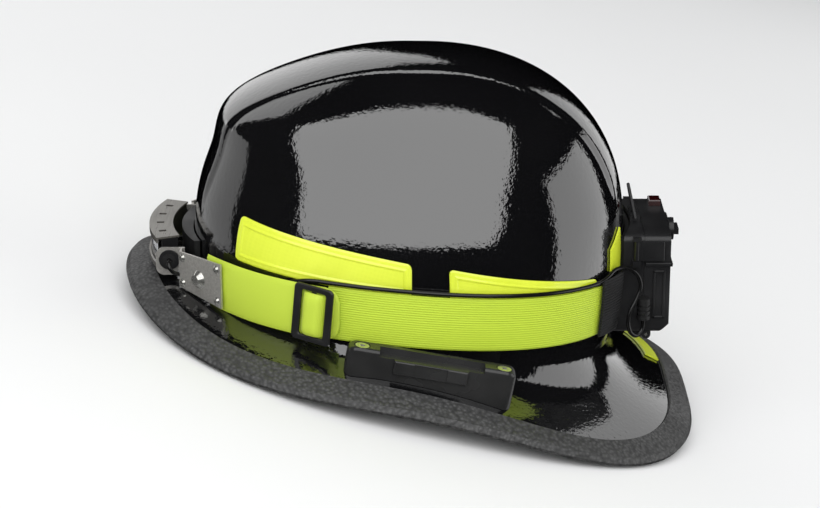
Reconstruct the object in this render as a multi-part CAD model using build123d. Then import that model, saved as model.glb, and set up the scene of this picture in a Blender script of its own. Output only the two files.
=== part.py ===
from build123d import *
import math
import os

# Firefighter helmet with a strapped-on headlamp, modelled in millimetres.
# Design frame: +X is the wearer's left, -Y the front, +Z up, with the crown upright and the origin inside the
# crown at the height where its wall meets the brim.  The finished assembly is then pitched forward about X
# until the brim's front and rear rest on z = 0, which is the row frame (see to_row).

# ------------------------------------------------------------------ driving dimensions
CROWN_HALF_WIDTH = 106.0        # outside of the crown wall at its foot
CROWN_FRONT = 132.0
CROWN_REAR = 124.7
CROWN_HEIGHT = 162.5
CROWN_PLAN_POWER = 2.25
BRIM_HALF_WIDTH = 142.0
BRIM_FRONT = 173.7
BRIM_REAR = 174.7
BRIM_POWER_FRONT = 2.14
BRIM_POWER_REAR = 2.93
EDGE_CURVE = (-19.8, -20.2, -10.3, -4.2, 3.7, 0.68)   # brim edge height, in powers of y / 100
EDGE_CROWN = 2.6                # how much higher the edge stands at the sides than on the centre plane
FOOT_HEIGHT = 5.0               # where the wall meets the brim at mid length
FOOT_RISE = -18.0               # and how it changes per 100 mm towards the rear
SLOPE_SIDE, SLOPE_FRONT, SLOPE_REAR = 30.0, 12.0, 38.0
SHELL_THICKNESS = 3.0
LINER_GAP = 2.5
LINER_THICKNESS = 20.0
TRIM_LEG = 15.5                 # how far the edge trim reaches in over the brim
TRIM_THICKNESS = 1.8
TRIM_PROUD = 3.0
REST_PITCH = 13.91              # how far the resting helmet leans forward, on four points of its brim
REST_Y = -4.63                   # shift after the pitch that centres the brim and sets it on the floor
REST_Z = 29.67
TOUCH = 0.3                     # gap between curved parts of one body that lie against each other

BELT_HEIGHT = 26.0              # the lamp's strap, mid width, at mid length
BELT_PITCH = 5.0                # its plane rises towards the front
STRAP_WIDTH = 32.0
STRAP_THICKNESS = 1.4
CABLE_RADIUS = 1.3

HEAD_HALF_WIDTH, HEAD_FRONT, HEAD_REAR = 76.0, 97.0, 92.0
HEADBAND_SLOPE = -0.24          # the headband dips towards the nape
NAPE_CENTRE_Y, NAPE_RADIUS, NAPE_HEIGHT = 16.0, 78.0, -10.0

RING_POINTS = 48
RING_ARCS = 8


# ------------------------------------------------------------------ shell surface
def by_side(s, front, rear, side):
    """A value that runs from side to front or rear as s, the sine of the bearing, goes to -1 or +1."""
    return side + ((front if s < 0 else rear) - side) * s * s


def oval(phi, half_width, half_length, power):
    x, y = abs(math.cos(phi) / half_width), abs(math.sin(phi) / half_length)
    return (x**power + y**power) ** (-1 / power)


def wall_radius(phi):
    return oval(phi, CROWN_HALF_WIDTH, CROWN_FRONT if math.sin(phi) < 0 else CROWN_REAR, CROWN_PLAN_POWER)


def brim_radius(phi):
    if math.sin(phi) < 0:
        return oval(phi, BRIM_HALF_WIDTH, BRIM_FRONT, BRIM_POWER_FRONT)
    return oval(phi, BRIM_HALF_WIDTH, BRIM_REAR, BRIM_POWER_REAR)


def head_radius(phi):
    return oval(phi, HEAD_HALF_WIDTH, HEAD_FRONT if math.sin(phi) < 0 else HEAD_REAR, 2.2)


def edge_height(x, y):
    return sum(k * (y / 100) ** i for i, k in enumerate(EDGE_CURVE)) + EDGE_CROWN * (x / BRIM_HALF_WIDTH) ** 2


def foot_height(phi):
    return FOOT_HEIGHT + FOOT_RISE * wall_radius(phi) * math.sin(phi) / 100


def crown_point(phi, v):
    """Crown surface, v from 0 at the apex to 1 at the foot of the wall."""
    c, s = math.cos(phi), math.sin(phi)
    power = by_side(s, 2.12, 2.27, 2.4)
    taper = by_side(s, -0.135, -0.31, 0.05)
    brow = by_side(s, 0.034, 0.0, 0.0)
    rise = max(0.0, math.cos(v * math.pi / 2)) ** (2 / power)
    reach = math.sin(v * math.pi / 2) ** (2 / power)
    r = wall_radius(phi) * reach * (1 - taper * rise - brow * rise**3)
    r += 13.6 * math.exp(-(((rise - 0.766) / 0.147) ** 2)) * max(0.0, -s) ** 2
    return Vector(r * c, r * s + 1.5 * rise**2, foot_height(phi) + rise * (CROWN_HEIGHT - foot_height(phi)))


def brim_point(phi, t):
    """Brim surface, t from 0 at the foot of the wall to 1 at the edge, and straight on past it."""
    c, s = math.cos(phi), math.sin(phi)
    r0, r3 = wall_radius(phi), brim_radius(phi)
    z0, z3 = foot_height(phi), edge_height(r3 * c, r3 * s)
    slope = math.radians(by_side(s, SLOPE_FRONT, SLOPE_REAR, SLOPE_SIDE))
    reach = 0.62 * (r3 - r0)
    if t > 1:
        r, z = r3 + (t - 1) * 30 * math.cos(slope), z3 - (t - 1) * 30 * math.sin(slope)
    else:
        w = ((1 - t) ** 3, 3 * t * (1 - t) ** 2, 3 * t * t * (1 - t), t**3)
        r = (w[0] + w[1]) * r0 + w[2] * (r3 - reach * math.cos(slope)) + w[3] * r3
        z = w[0] * z0 + w[1] * (z0 + z3) / 2 + w[2] * (z3 + reach * math.sin(slope)) + w[3] * z3
    return Vector(r * c, r * s, z)


def on_shell(phi, v):
    return crown_point(phi, v) if v <= 1 else brim_point(phi, v - 1)


def shell_point(phi, v, offset=0.0):
    """Outside of the shell, v from 0 at the apex over 1 at the foot to 2 at the edge, moved out by offset."""
    step = 1e-3
    around = on_shell(phi + step, v) - on_shell(phi - step, v)
    down = on_shell(phi, v + step) - on_shell(phi, v - step)
    return on_shell(phi, v) + down.cross(around).normalized() * offset


def wall_at(phi, z):
    """Radius of the crown at a bearing and a height."""
    high, low = 0.2, 1.0
    for _ in range(40):
        mid = (high + low) / 2
        if on_shell(phi, mid).Z > z:
            high = mid
        else:
            low = mid
    p = on_shell(phi, low)
    return math.hypot(p.X, p.Y)


def belt_height(y):
    return BELT_HEIGHT - y * math.tan(math.radians(BELT_PITCH))


# ------------------------------------------------------------------ solids from rings and sections
CROWN_LEVELS = (0.03, 0.07, 0.13, 0.21, 0.3, 0.4, 0.5, 0.6, 0.7, 0.79, 0.87, 0.94, 1.0)
BRIM_LEVELS = (1.12, 1.26, 1.42, 1.58, 1.74, 1.88, 2.0)


def bearings(count=RING_POINTS):
    return [2 * math.pi * i / count for i in range(count)]


def ring(points):
    """A closed smooth ring of equal arcs.  All rings share their parameters, so that a loft stays light."""
    parameters = [i / len(points) for i in range(len(points) + 1)]
    loop = Edge.make_spline(points, periodic=True, parameters=parameters)
    return Wire([loop.trim(i / RING_ARCS, (i + 1) / RING_ARCS) for i in range(RING_ARCS)])


def level_ring(v, offset):
    return ring([shell_point(phi, v, offset) for phi in bearings()])


def flat_ring(v, offset):
    points = [shell_point(phi, v, offset) for phi in bearings()]
    z = sum(p.Z for p in points) / len(points)
    return ring([Vector(p.X, p.Y, z) for p in points])


def skin_rings(offset, levels):
    return [flat_ring(levels[0], offset)] + [level_ring(v, offset) for v in levels[1:]]


def strip(*rings, ruled=True):
    return list(Shell.make_loft(list(rings), ruled=ruled).faces())


def sewn(faces):
    solid = Solid(Shell(faces))
    return solid if solid.volume > 0 else Solid(solid.shell().moved(Location()))


def shell_layer(outside, inside, levels):
    """The solid between two offsets of the shell's surface, closed by a flat top and a band below."""
    outer, inner = skin_rings(outside, levels), skin_rings(inside, levels)
    return sewn(
        strip(*outer, ruled=False)
        + strip(*inner, ruled=False)
        + strip(outer[-1], inner[-1])
        + [Face(outer[0]), Face(inner[0])]
    )


def under(offset):
    """A thick layer under the shell's surface moved out by offset, as a cutter for what sits on the shell."""
    return shell_layer(offset, -30, CROWN_LEVELS + BRIM_LEVELS)


def rolled(profiles):
    """A ring-shaped solid from the closed rings of its section, taken in order."""
    faces = []
    for a, b in zip(profiles, profiles[1:] + profiles[:1]):
        faces += strip(a, b)
    return sewn(faces)


def section(phi, outline):
    """A closed wire in the upright plane at a bearing; outline is a list of (radius, height)."""
    c, s = math.cos(phi), math.sin(phi)
    return Wire.make_polygon([Vector(r * c, r * s, z) for r, z in outline], close=True)


def band(start, end, outline, count=7):
    """A solid swept round the Z axis between two bearings in degrees; outline(phi) gives its section."""
    turns = [math.radians(start + (end - start) * i / (count - 1)) for i in range(count)]
    return Solid.make_loft([section(phi, outline(phi)) for phi in turns])


def on_wall(low, high, inside, outside, rows=7):
    """The outline of a strip that lies along the crown wall; each argument is a function of the bearing."""
    def outline(phi):
        heights = [low(phi) + (high(phi) - low(phi)) * i / (rows - 1) for i in range(rows)]
        inner = [(wall_at(phi, z) + inside(phi), z) for z in heights]
        outer = [(wall_at(phi, z) + outside(phi), z) for z in reversed(heights)]
        return inner + outer

    return outline


def mirrored(solid):
    return solid.mirror(Plane.YZ)


def both(solid):
    return [solid, mirrored(solid)]


def box(x, y, z):
    """A box from its three ranges."""
    size = Vector(x[1] - x[0], y[1] - y[0], z[1] - z[0])
    return Solid.make_box(size.X, size.Y, size.Z, Plane((x[0], y[0], z[0])))


def rod(start, end, radius):
    axis = Vector(*end) - Vector(*start)
    return Solid.make_cylinder(radius, axis.length, Plane(origin=start, z_dir=axis))


def sector(centre_y, inner, outer, half_angle, z, towards=-90.0):
    """Part of a ring about an upright axis on the centre plane, half_angle either side of a bearing."""
    def at(r, angle):
        a = math.radians(towards + angle)
        return Vector(r * math.cos(a), centre_y + r * math.sin(a), z[0])

    edges = [
        Edge.make_three_point_arc(at(outer, -half_angle), at(outer, 0), at(outer, half_angle)),
        Edge.make_line(at(outer, half_angle), at(inner, half_angle)),
        Edge.make_three_point_arc(at(inner, half_angle), at(inner, 0), at(inner, -half_angle)),
        Edge.make_line(at(inner, -half_angle), at(outer, -half_angle)),
    ]
    return Solid.extrude(Face(Wire(edges)), Vector(0, 0, z[1] - z[0]))


def one(shape):
    """The single solid of a boolean result."""
    solids = shape.solids()
    assert len(solids) == 1, f"{len(solids)} solids"
    return solids[0]


# ------------------------------------------------------------------ shell, trim, reflectors and side bars
BAR_FACE_X = 122.0
BAR_FRONT, BAR_REAR = -38.0, 62.5
BAR_PITCH = 10.0
BAR_MID = Vector(0, 12.25, 1.2)
BAR_HEIGHT = 13.0
BAR_BACK_X = 110.2
BAR_SCREW_X = 116.3
BAR_SCREWS_Y = (-29.5, 55.0)
BOLT_RADIUS = 2.0
CHIN_BOLT_Z = -1.0

FRONT_REFLECTOR = {"from": (-55.0, 52.8, 79.3), "to": (0.6, 39.5, 59.1)}    # bearing, lower and upper height
REAR_REFLECTOR = {"from": (12.8, 36.5, 56.1), "to": (60.6, 12.0, 36.6)}
TAIL_REFLECTOR = {"from": (67.5, 36.5, 50.0), "to": (74.4, 35.0, 60.0)}


def bar_frame():
    """The side bars' own frame: level in it means along the bar."""
    return Location(BAR_MID) * Location((0, 0, 0), (-BAR_PITCH, 0, 0))


def bar_screw_axes():
    return [bar_frame() * Location((BAR_SCREW_X, y - BAR_MID.Y, 0)) for y in BAR_SCREWS_Y]


def brim_below(location):
    """How far below a location's origin the brim's outer surface lies."""
    x, y = location.position.X, location.position.Y
    phi = math.atan2(y, x)
    near, far = 1.0, 2.0
    for _ in range(40):
        mid = (near + far) / 2
        p = on_shell(phi, mid)
        if math.hypot(p.X, p.Y) < math.hypot(x, y):
            near = mid
        else:
            far = mid
    return on_shell(phi, near).Z - location.position.Z


def bolt_through(location, radius, low, high):
    return rod((0, 0, low), (0, 0, high), radius).moved(location)


def outer_shell():
    shell = shell_layer(0, -SHELL_THICKNESS, CROWN_LEVELS + BRIM_LEVELS)
    for location in bar_screw_axes():
        for hole in both(bolt_through(location, BOLT_RADIUS + 0.2, -60, 5)):
            shell = shell - hole
    for hole in both(rod((96, 0, CHIN_BOLT_Z), (118, 0, CHIN_BOLT_Z), BOLT_RADIUS + 0.2)):
        shell = shell - hole
    return one(shell)


def inset(phi, distance):
    """The level on the brim that lies a distance in from the edge, measured straight."""
    edge = on_shell(phi, 2.0)
    near, far = 1.3, 2.0
    for _ in range(40):
        mid = (near + far) / 2
        if (on_shell(phi, mid) - edge).length > distance:
            near = mid
        else:
            far = mid
    return near


def trim_ring(distance, offset):
    """A ring a distance in from the brim's edge, or out past it when negative, at a surface offset."""
    points = []
    for phi in bearings():
        if distance > 0:
            points.append(shell_point(phi, inset(phi, distance), offset))
        else:
            edge, inner = shell_point(phi, 2.0, offset), shell_point(phi, inset(phi, 2.0), offset)
            points.append(edge + (edge - inner).normalized() * -distance)
    return ring(points)


def edge_trim():
    top, below = TRIM_THICKNESS, -SHELL_THICKNESS - TRIM_THICKNESS
    profile = [
        (TRIM_LEG, TOUCH), (TRIM_LEG - 0.6, top), (TRIM_LEG / 2, top), (0.1, top),
        (-TRIM_PROUD, -0.4), (-TRIM_PROUD, -SHELL_THICKNESS + 0.4), (0.1, below), (TRIM_LEG / 2, below),
        (TRIM_LEG - 0.6, below), (TRIM_LEG, -SHELL_THICKNESS - TOUCH),
        (TRIM_LEG / 2, -SHELL_THICKNESS - TOUCH),
        (-0.2, -SHELL_THICKNESS - TOUCH), (-0.2, TOUCH), (TRIM_LEG / 2, TOUCH),
    ]
    return rolled([trim_ring(distance, offset) for distance, offset in profile])


def reflector(corners, inside=0.45, outside=1.45):
    """A trapezoid stuck to the crown, from its two ends' bearings and heights."""
    (b0, low0, high0), (b1, low1, high1) = corners["from"], corners["to"]

    def blend(a, b):
        return lambda phi: a + (b - a) * (math.degrees(phi) - b0) / (b1 - b0)

    outline = on_wall(blend(low0, low1), blend(high0, high1), lambda _: inside, lambda _: outside)
    return band(b0, b1, outline)


def brim_reflector():
    """A small patch on the rear brim, on the wearer's right."""
    def outline(phi):
        levels = [1.69 + 0.12 * i / 4 for i in range(5)]
        points = [shell_point(phi, v, 0.45) for v in levels]
        points += [shell_point(phi, v, 1.45) for v in levels[::-1]]
        return [(math.hypot(p.X, p.Y), p.Z) for p in points]

    return band(100.0, 115.0, outline, count=5)


def side_bar(cutter):
    """A moulded rail on the brim with two screw lobes and a centre pad with a recessed plate."""
    half = (BAR_REAR - BAR_FRONT) / 2
    bar = box((BAR_BACK_X, BAR_FACE_X), (-half, half), (-BAR_HEIGHT - 12, BAR_HEIGHT / 2))
    bar = bar.fillet(2.5, bar.edges().filter_by(Axis.Y).group_by(Axis.X)[-1])
    bar = bar.fillet(5.5, bar.edges().filter_by(Axis.Z).group_by(Axis.X)[-1])
    top = BAR_HEIGHT / 2
    step = box((BAR_BACK_X + 3.5, BAR_FACE_X + 1), (-half + 19, half - 19), (top - 3.5, BAR_HEIGHT))
    pad = box((BAR_FACE_X - 6, BAR_FACE_X + 2.5), (-22, 22), (-BAR_HEIGHT / 2 + 1, BAR_HEIGHT / 2 - 3.5))
    plate = box((BAR_FACE_X + 1.7, BAR_FACE_X + 4), (-10, 10), (-5, 2.5))
    bar = one((bar - step) + pad.fillet(1.2, pad.edges().group_by(Axis.X)[-1])) - plate
    bar = one(bar).moved(bar_frame())
    for location in bar_screw_axes():
        bar = bar - bolt_through(location, BOLT_RADIUS + 0.1, -60, 30)
        bar = bar - bolt_through(location, 4.8, BAR_HEIGHT / 2 - 2.2, 30)
    bar = bar - rod((96, 0, CHIN_BOLT_Z), (116, 0, CHIN_BOLT_Z), BOLT_RADIUS + 0.2)
    return max((bar - cutter).solids(), key=lambda s: s.volume)


def bar_screw(location):
    top = BAR_HEIGHT / 2 - 2.2
    head = rod((0, 0, top), (0, 0, top + 2.0), 4.2)
    shank = rod((0, 0, brim_below(location) - 11), (0, 0, top), BOLT_RADIUS)
    socket = rod((0, 0, top + 0.8), (0, 0, top + 3), 1.5)
    return one(head + shank - socket).moved(location)


def bar_nut(location):
    """A washer-faced nut under the brim, held clear of its curved underside."""
    top = brim_below(location) - 7.4
    turns = [a * math.pi / 3 for a in range(6)]
    corners = [Vector(3.6 * math.cos(a), 3.6 * math.sin(a), top - 4) for a in turns]
    nut = Solid.extrude(Face(Wire.make_polygon(corners, close=True)), Vector(0, 0, 3.5))
    washer = rod((0, 0, top - 0.8), (0, 0, top), 4.5)
    return one(nut + washer - rod((0, 0, top - 9), (0, 0, top + 9), BOLT_RADIUS + 0.02)).moved(location)


# ------------------------------------------------------------------ headgear inside the shell
CHIN_X = 97.0


def headband_height(phi, radius=None):
    r = radius or head_radius(phi)
    return 10.0 + HEADBAND_SLOPE * r * math.sin(phi)


def head_strip(low, high, inside, outside):
    """The outline of a strip that follows the headband, heights measured from its middle."""
    def outline(phi):
        r, z = head_radius(phi), headband_height(phi)
        near, far = r + inside, r + outside
        return [(near, z + low), (far, z + low), (far, z + high), (near, z + high)]

    return outline


def impact_liner():
    levels = CROWN_LEVELS[:-1] + (0.965,)
    outside = -SHELL_THICKNESS - LINER_GAP
    liner = shell_layer(outside, outside - LINER_THICKNESS, levels)
    return one(liner - box((-24, 24), (80, 140), (-40, 9)))


def suspension_blocks():
    """Four blocks that key the headband into the liner."""
    def block(bearing, low, high):
        def outline(phi):
            inner = head_radius(phi) + 1.2
            outer = wall_at(phi, (low + high) / 2) - SHELL_THICKNESS - LINER_GAP - LINER_THICKNESS - 3.0
            return [(inner, low), (outer, low), (outer, high), (inner, high)]

        return band(bearing - 4, bearing + 4, outline, count=3)

    return both(block(-45, 27, 41)) + both(block(28, 3, 17))


def headband():
    return band(-220, 40, head_strip(-16, 16, -1, 1), count=27)


def brow_pad():
    return band(-145, -35, head_strip(-18, 0, -10, -4.6), count=11)


def crown_strap(bearing, drop):
    """One textile strap of the cradle, an arch from side to side of the headband."""
    phi = math.radians(bearing)
    top = 114.0 - drop

    def arch(inward):
        points = []
        for i in range(13):
            t = math.pi * i / 12
            side = phi if t < math.pi / 2 else phi + math.pi
            foot = headband_height(side) + 2
            r = (head_radius(side) - 4.0 - inward) * abs(math.cos(t))
            z = foot + (top - inward - foot) * math.sin(t)
            points.append(Vector(r * math.cos(side), r * math.sin(side), z))
        return points

    outer, inner = arch(0.0), arch(1.1)
    edges = [
        Edge.make_spline(outer),
        Edge.make_line(outer[-1], inner[-1]),
        Edge.make_spline(inner[::-1]),
        Edge.make_line(inner[0], outer[0]),
    ]
    across = Vector(-math.sin(phi), math.cos(phi), 0)
    face = Face(Wire(edges)).moved(Location(across * -9.5))
    return Solid.extrude(face, across * 19)


# The ratchet: a knob and pinion behind the nape that draws two curved racks past each other.
PINION_TEETH = 12
TOOTH_PITCH = math.pi            # module 1
PINION_RADIUS = PINION_TEETH * TOOTH_PITCH / (2 * math.pi)
RACK_TURN = TOOTH_PITCH / NAPE_RADIUS
NAPE_Y = NAPE_CENTRE_Y + NAPE_RADIUS


def tooth(root, tip, width_root, width_tip, depth):
    """A straight-sided tooth pointing along +Z from z = root to z = tip, centred on y = 0."""
    outline = [(-width_root / 2, root), (width_root / 2, root), (width_tip / 2, tip), (-width_tip / 2, tip)]
    face = Face(Wire.make_polygon([Vector(x, -depth / 2, z) for x, z in outline], close=True))
    return Solid.extrude(face, Vector(0, depth, 0))


def ratchet_pinion():
    centre = Location((0, NAPE_Y, NAPE_HEIGHT))
    pinion = rod((0, -1, 0), (0, 1, 0), PINION_RADIUS - 1.0)
    for i in range(PINION_TEETH):
        angle = 360 / PINION_TEETH * (i + 0.5)
        pinion = pinion + tooth(PINION_RADIUS - 1.6, PINION_RADIUS + 0.75, 2.0, 0.6, 2.0).moved(
            Location((0, 0, 0), (0, angle, 0))
        )
    shaft = rod((0, 1, 0), (0, 10.5, 0), 2.5)
    return one(pinion + shaft).moved(centre)


def ratchet_knob():
    knob = rod((0, 6.0, 0), (0, 12.4, 0), 15)
    knob = knob.fillet(2.0, knob.edges().group_by(Axis.Y)[-1])
    for i in range(12):
        a = 2 * math.pi * i / 12
        x, z = 16 * math.cos(a), 16 * math.sin(a)
        knob = knob - rod((x, 0, z), (x, 20, z), 2.2)
    knob = knob - rod((0, 0, 0), (0, 10.55, 0), 2.5)
    return one(knob).moved(Location((0, NAPE_Y, NAPE_HEIGHT)))


def rack(upper):
    """A curved strip about the nape's centre, with teeth on the edge that faces the pinion."""
    up = 1 if upper else -1
    edge, far = PINION_RADIUS + 1.1, PINION_RADIUS + 7.0
    z = sorted((NAPE_HEIGHT + up * edge, NAPE_HEIGHT + up * far))
    strip_solid = sector(NAPE_CENTRE_Y, NAPE_RADIUS - 1, NAPE_RADIUS + 1, 41, z, towards=90 - 27 * up)
    for i in range(-5, 6):
        one_tooth = tooth(PINION_RADIUS + 1.4, PINION_RADIUS - 0.75, 2.0, 0.6, 2.0)
        if not upper:
            one_tooth = one_tooth.mirror(Plane.XY)
        turn = Location((0, NAPE_CENTRE_Y, 0)) * Location((0, 0, 0), (0, 0, math.degrees(RACK_TURN) * i))
        strip_solid = strip_solid + one_tooth.moved(turn * Location((0, NAPE_RADIUS, NAPE_HEIGHT)))
    return one(strip_solid)


def ratchet_housing():
    reach = PINION_RADIUS + 10
    z = (NAPE_HEIGHT - reach, NAPE_HEIGHT + reach)
    housing = sector(NAPE_CENTRE_Y, NAPE_RADIUS - 3.5, NAPE_RADIUS + 5.5, 17, z, towards=90)
    slot_z = (NAPE_HEIGHT - PINION_RADIUS - 7.3, NAPE_HEIGHT + PINION_RADIUS + 7.3)
    housing = housing - sector(NAPE_CENTRE_Y, NAPE_RADIUS - 1.5, NAPE_RADIUS + 1.5, 30, slot_z, towards=90)
    return one(housing - rod((0, NAPE_Y, NAPE_HEIGHT), (0, NAPE_Y + 12, NAPE_HEIGHT), 2.55))


def nape_pad():
    z = (NAPE_HEIGHT - 17, NAPE_HEIGHT + 17)
    return sector(NAPE_CENTRE_Y, NAPE_RADIUS - 11, NAPE_RADIUS - 3.8, 22, z, towards=90)


def chin_bracket():
    """A steel plate inside the shell with a slot for the chin strap."""
    plate = box((CHIN_X, CHIN_X + 1.5), (-12, 12), (-17, 5))
    slot = box((CHIN_X - 1, CHIN_X + 3), (-9.5, 9.5), (-13.5, -9.5))
    plate = plate.fillet(4.0, plate.edges().filter_by(Axis.X))
    hole = rod((CHIN_X - 1, 0, CHIN_BOLT_Z), (CHIN_X + 3, 0, CHIN_BOLT_Z), BOLT_RADIUS + 0.05)
    return one(plate - slot - hole)


def chin_bolt():
    head = rod((CHIN_X - 2, 0, CHIN_BOLT_Z), (CHIN_X, 0, CHIN_BOLT_Z), 4.0)
    return one(head + rod((CHIN_X - 0.5, 0, CHIN_BOLT_Z), (114, 0, CHIN_BOLT_Z), BOLT_RADIUS))


CHIN_STRAP_Z = -24.0


def chin_strap_outline(phi):
    """Section of the stowed chin strap, which hangs inside the brim behind the wearer's neck."""
    blend = min(1.0, max(0.0, abs(math.sin(phi)) / 0.9))
    r = 93.0 + 18.8 * blend
    z = -9.0 + (CHIN_STRAP_Z + 9.0) * blend
    return [(r, z - 10), (r + 1.4, z - 10), (r + 1.4, z + 10), (r, z + 10)]


def chin_strap(end):
    return band(10, end, chin_strap_outline, count=9)


BUCKLE_Y = 111.0


def chin_buckle_socket():
    body = box((-26, 2), (BUCKLE_Y - 4, BUCKLE_Y + 5), (CHIN_STRAP_Z - 14, CHIN_STRAP_Z + 14))
    body = body.fillet(2.0, body.edges().filter_by(Axis.X))
    return one(body - box((-18, 3), (BUCKLE_Y - 1.7, BUCKLE_Y + 2.7), (CHIN_STRAP_Z - 11, CHIN_STRAP_Z + 11)))


def chin_buckle_tongue():
    root = box((2.3, 26), (BUCKLE_Y - 4, BUCKLE_Y + 5), (CHIN_STRAP_Z - 12, CHIN_STRAP_Z + 12))
    root = root.fillet(2.0, root.edges().filter_by(Axis.X))
    for z in (-8, 0, 8):
        middle = CHIN_STRAP_Z + z
        root = root + box((-14, 4), (BUCKLE_Y - 1.4, BUCKLE_Y + 2.4), (middle - 2.4, middle + 2.4))
    return one(root)


# ------------------------------------------------------------------ headlamp
LAMP_CENTRE_Y = -61.0            # its face is part of a cylinder about this upright axis
LAMP_FRONT_R, LAMP_REAR_R = 99.6, 86.6
LAMP_HALF_ANGLE = 21.5
LAMP_LOW, LAMP_HIGH = 36.2, 52.5
LAMP_AXIS_Y, LAMP_AXIS_Z = -146.3, 41.5
PIVOT_X = 40.6                   # end of the lamp's side boss
PIVOT_RADIUS = 3.0
LED_ANGLES = (-15.0, -5.0, 5.0, 15.0)
PLATE_FRONT = Vector(47.9, -139.1)
PLATE_REAR = Vector(75.4, -112.0)


def lamp_part(inner, outer, half_angle, low, high):
    return sector(LAMP_CENTRE_Y, inner, outer, half_angle, (low, high))


def lamp_direction(angle):
    a = math.radians(angle - 90)
    return Vector(math.cos(a), math.sin(a), 0)


def lamp_spot(angle, radius, z=None):
    return Vector(0, LAMP_CENTRE_Y, LAMP_AXIS_Z if z is None else z) + lamp_direction(angle) * radius


def lamp_housing():
    body = lamp_part(LAMP_REAR_R, 96.5, LAMP_HALF_ANGLE, LAMP_LOW, LAMP_HIGH)
    body = body - lamp_part(89.0, 97.0, LAMP_HALF_ANGLE - 1.2, LAMP_LOW + 2, LAMP_HIGH - 2)
    y, z = LAMP_AXIS_Y, LAMP_AXIS_Z
    boss, rim = rod((33.8, y, z), (PIVOT_X, y, z), 4.6), rod((PIVOT_X - 2.6, y, z), (PIVOT_X, y, z), 6.2)
    for lug in both(boss) + both(rim):
        body = body + lug
    for bore in both(rod((30, y, z), (PIVOT_X + 1, y, z), PIVOT_RADIUS + 0.05)):
        body = body - bore
    return one(body)


def lamp_gasket():
    outer = lamp_part(96.6, 97.2, LAMP_HALF_ANGLE - 0.1, LAMP_LOW + 0.5, LAMP_HIGH - 0.5)
    return one(outer - lamp_part(96.0, 98.0, LAMP_HALF_ANGLE - 1.3, LAMP_LOW + 2.2, LAMP_HIGH - 2.2))


def lamp_lens():
    lens = lamp_part(97.3, LAMP_FRONT_R, LAMP_HALF_ANGLE, LAMP_LOW + 0.2, LAMP_HIGH - 0.2)
    return lens.fillet(0.8, lens.edges().filter_by(GeomType.CIRCLE).group_by(SortBy.RADIUS)[-1])


def lamp_reflector():
    block = lamp_part(90.8, 96.3, LAMP_HALF_ANGLE - 1.5, LAMP_LOW + 2.3, LAMP_HIGH - 2.3)
    for angle in LED_ANGLES:
        place = Plane(origin=lamp_spot(angle, 90.5), z_dir=lamp_direction(angle))
        cup = Solid.make_cone(2.2, 7.9, 6.0, place)
        block = block - cup
    return max(block.solids(), key=lambda s: s.volume)


def lamp_board():
    return lamp_part(89.2, 90.2, LAMP_HALF_ANGLE - 1.8, LAMP_LOW + 2.6, LAMP_HIGH - 2.6)


def lamp_leds():
    leds = []
    for angle in LED_ANGLES:
        plane = Plane(origin=lamp_spot(angle, 90.3), z_dir=lamp_direction(angle), x_dir=(0, 0, 1))
        leds.append(Solid.make_cylinder(1.8, 1.2, plane))
    return leds


def lamp_top_plate():
    """Stainless cover with a folded front lip and four cooling slots."""
    plate = lamp_part(86.0, 100.6, LAMP_HALF_ANGLE + 0.6, LAMP_HIGH + 0.1, LAMP_HIGH + 1.3)
    plate = plate + lamp_part(99.8, 100.6, LAMP_HALF_ANGLE + 0.6, LAMP_HIGH - 2.2, LAMP_HIGH + 1.3)
    for angle in LED_ANGLES:
        plate = plate - lamp_part(91.5, 96.0, 0.9, LAMP_HIGH, LAMP_HIGH + 2).rotate(
            Axis((0, LAMP_CENTRE_Y, 0), (0, 0, 1)), angle
        )
    return one(plate)


def lamp_bottom_plate():
    plate = lamp_part(86.6, 101.2, LAMP_HALF_ANGLE + 0.4, LAMP_LOW - 1.3, LAMP_LOW - 0.1)
    lip = lamp_part(99.9, 101.2, LAMP_HALF_ANGLE + 0.4, LAMP_LOW - 1.3, LAMP_LOW + 1.6)
    return one(plate + lip)


def lamp_pivot(hollow):
    """Shoulder bush that carries the lamp in the side plate's ear."""
    y, z = LAMP_AXIS_Y, LAMP_AXIS_Z
    bush = rod((34.0, y, z), (PIVOT_X + 1.6, y, z), PIVOT_RADIUS)
    bush = bush + rod((PIVOT_X + 1.6, y, z), (PIVOT_X + 2.8, y, z), 6.2)
    if hollow:
        bush = bush - rod((30, y, z), (PIVOT_X + 4, y, z), 2.0)
    return one(bush)


def cable_grommet():
    y, z = LAMP_AXIS_Y, LAMP_AXIS_Z
    sleeve = rod((PIVOT_X - 3, y, z), (PIVOT_X + 3.6, y, z), 1.98)
    sleeve = sleeve + rod((PIVOT_X + 2.85, y, z), (PIVOT_X + 3.8, y, z), 4.2)
    return one(sleeve - rod((30, y, z), (60, y, z), CABLE_RADIUS + 0.2))


def plate_frame():
    """Frame of the left side plate: X along it to the rear, Y outward, Z up, origin at its front end."""
    along = (PLATE_REAR - PLATE_FRONT).normalized()
    return Plane(origin=(PLATE_FRONT.X, PLATE_FRONT.Y, 0), x_dir=along, z_dir=(0, 0, 1)).location


def plate_length():
    return (PLATE_REAR - PLATE_FRONT).length


PLATE_RIVETS = ((3.0, 45.5), (3.0, 29.5), (34.5, 46.0), (34.5, 26.0))
DOME_RIVET = (18.0, 35.5)
PLATE_THICKNESS = 1.2


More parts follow.
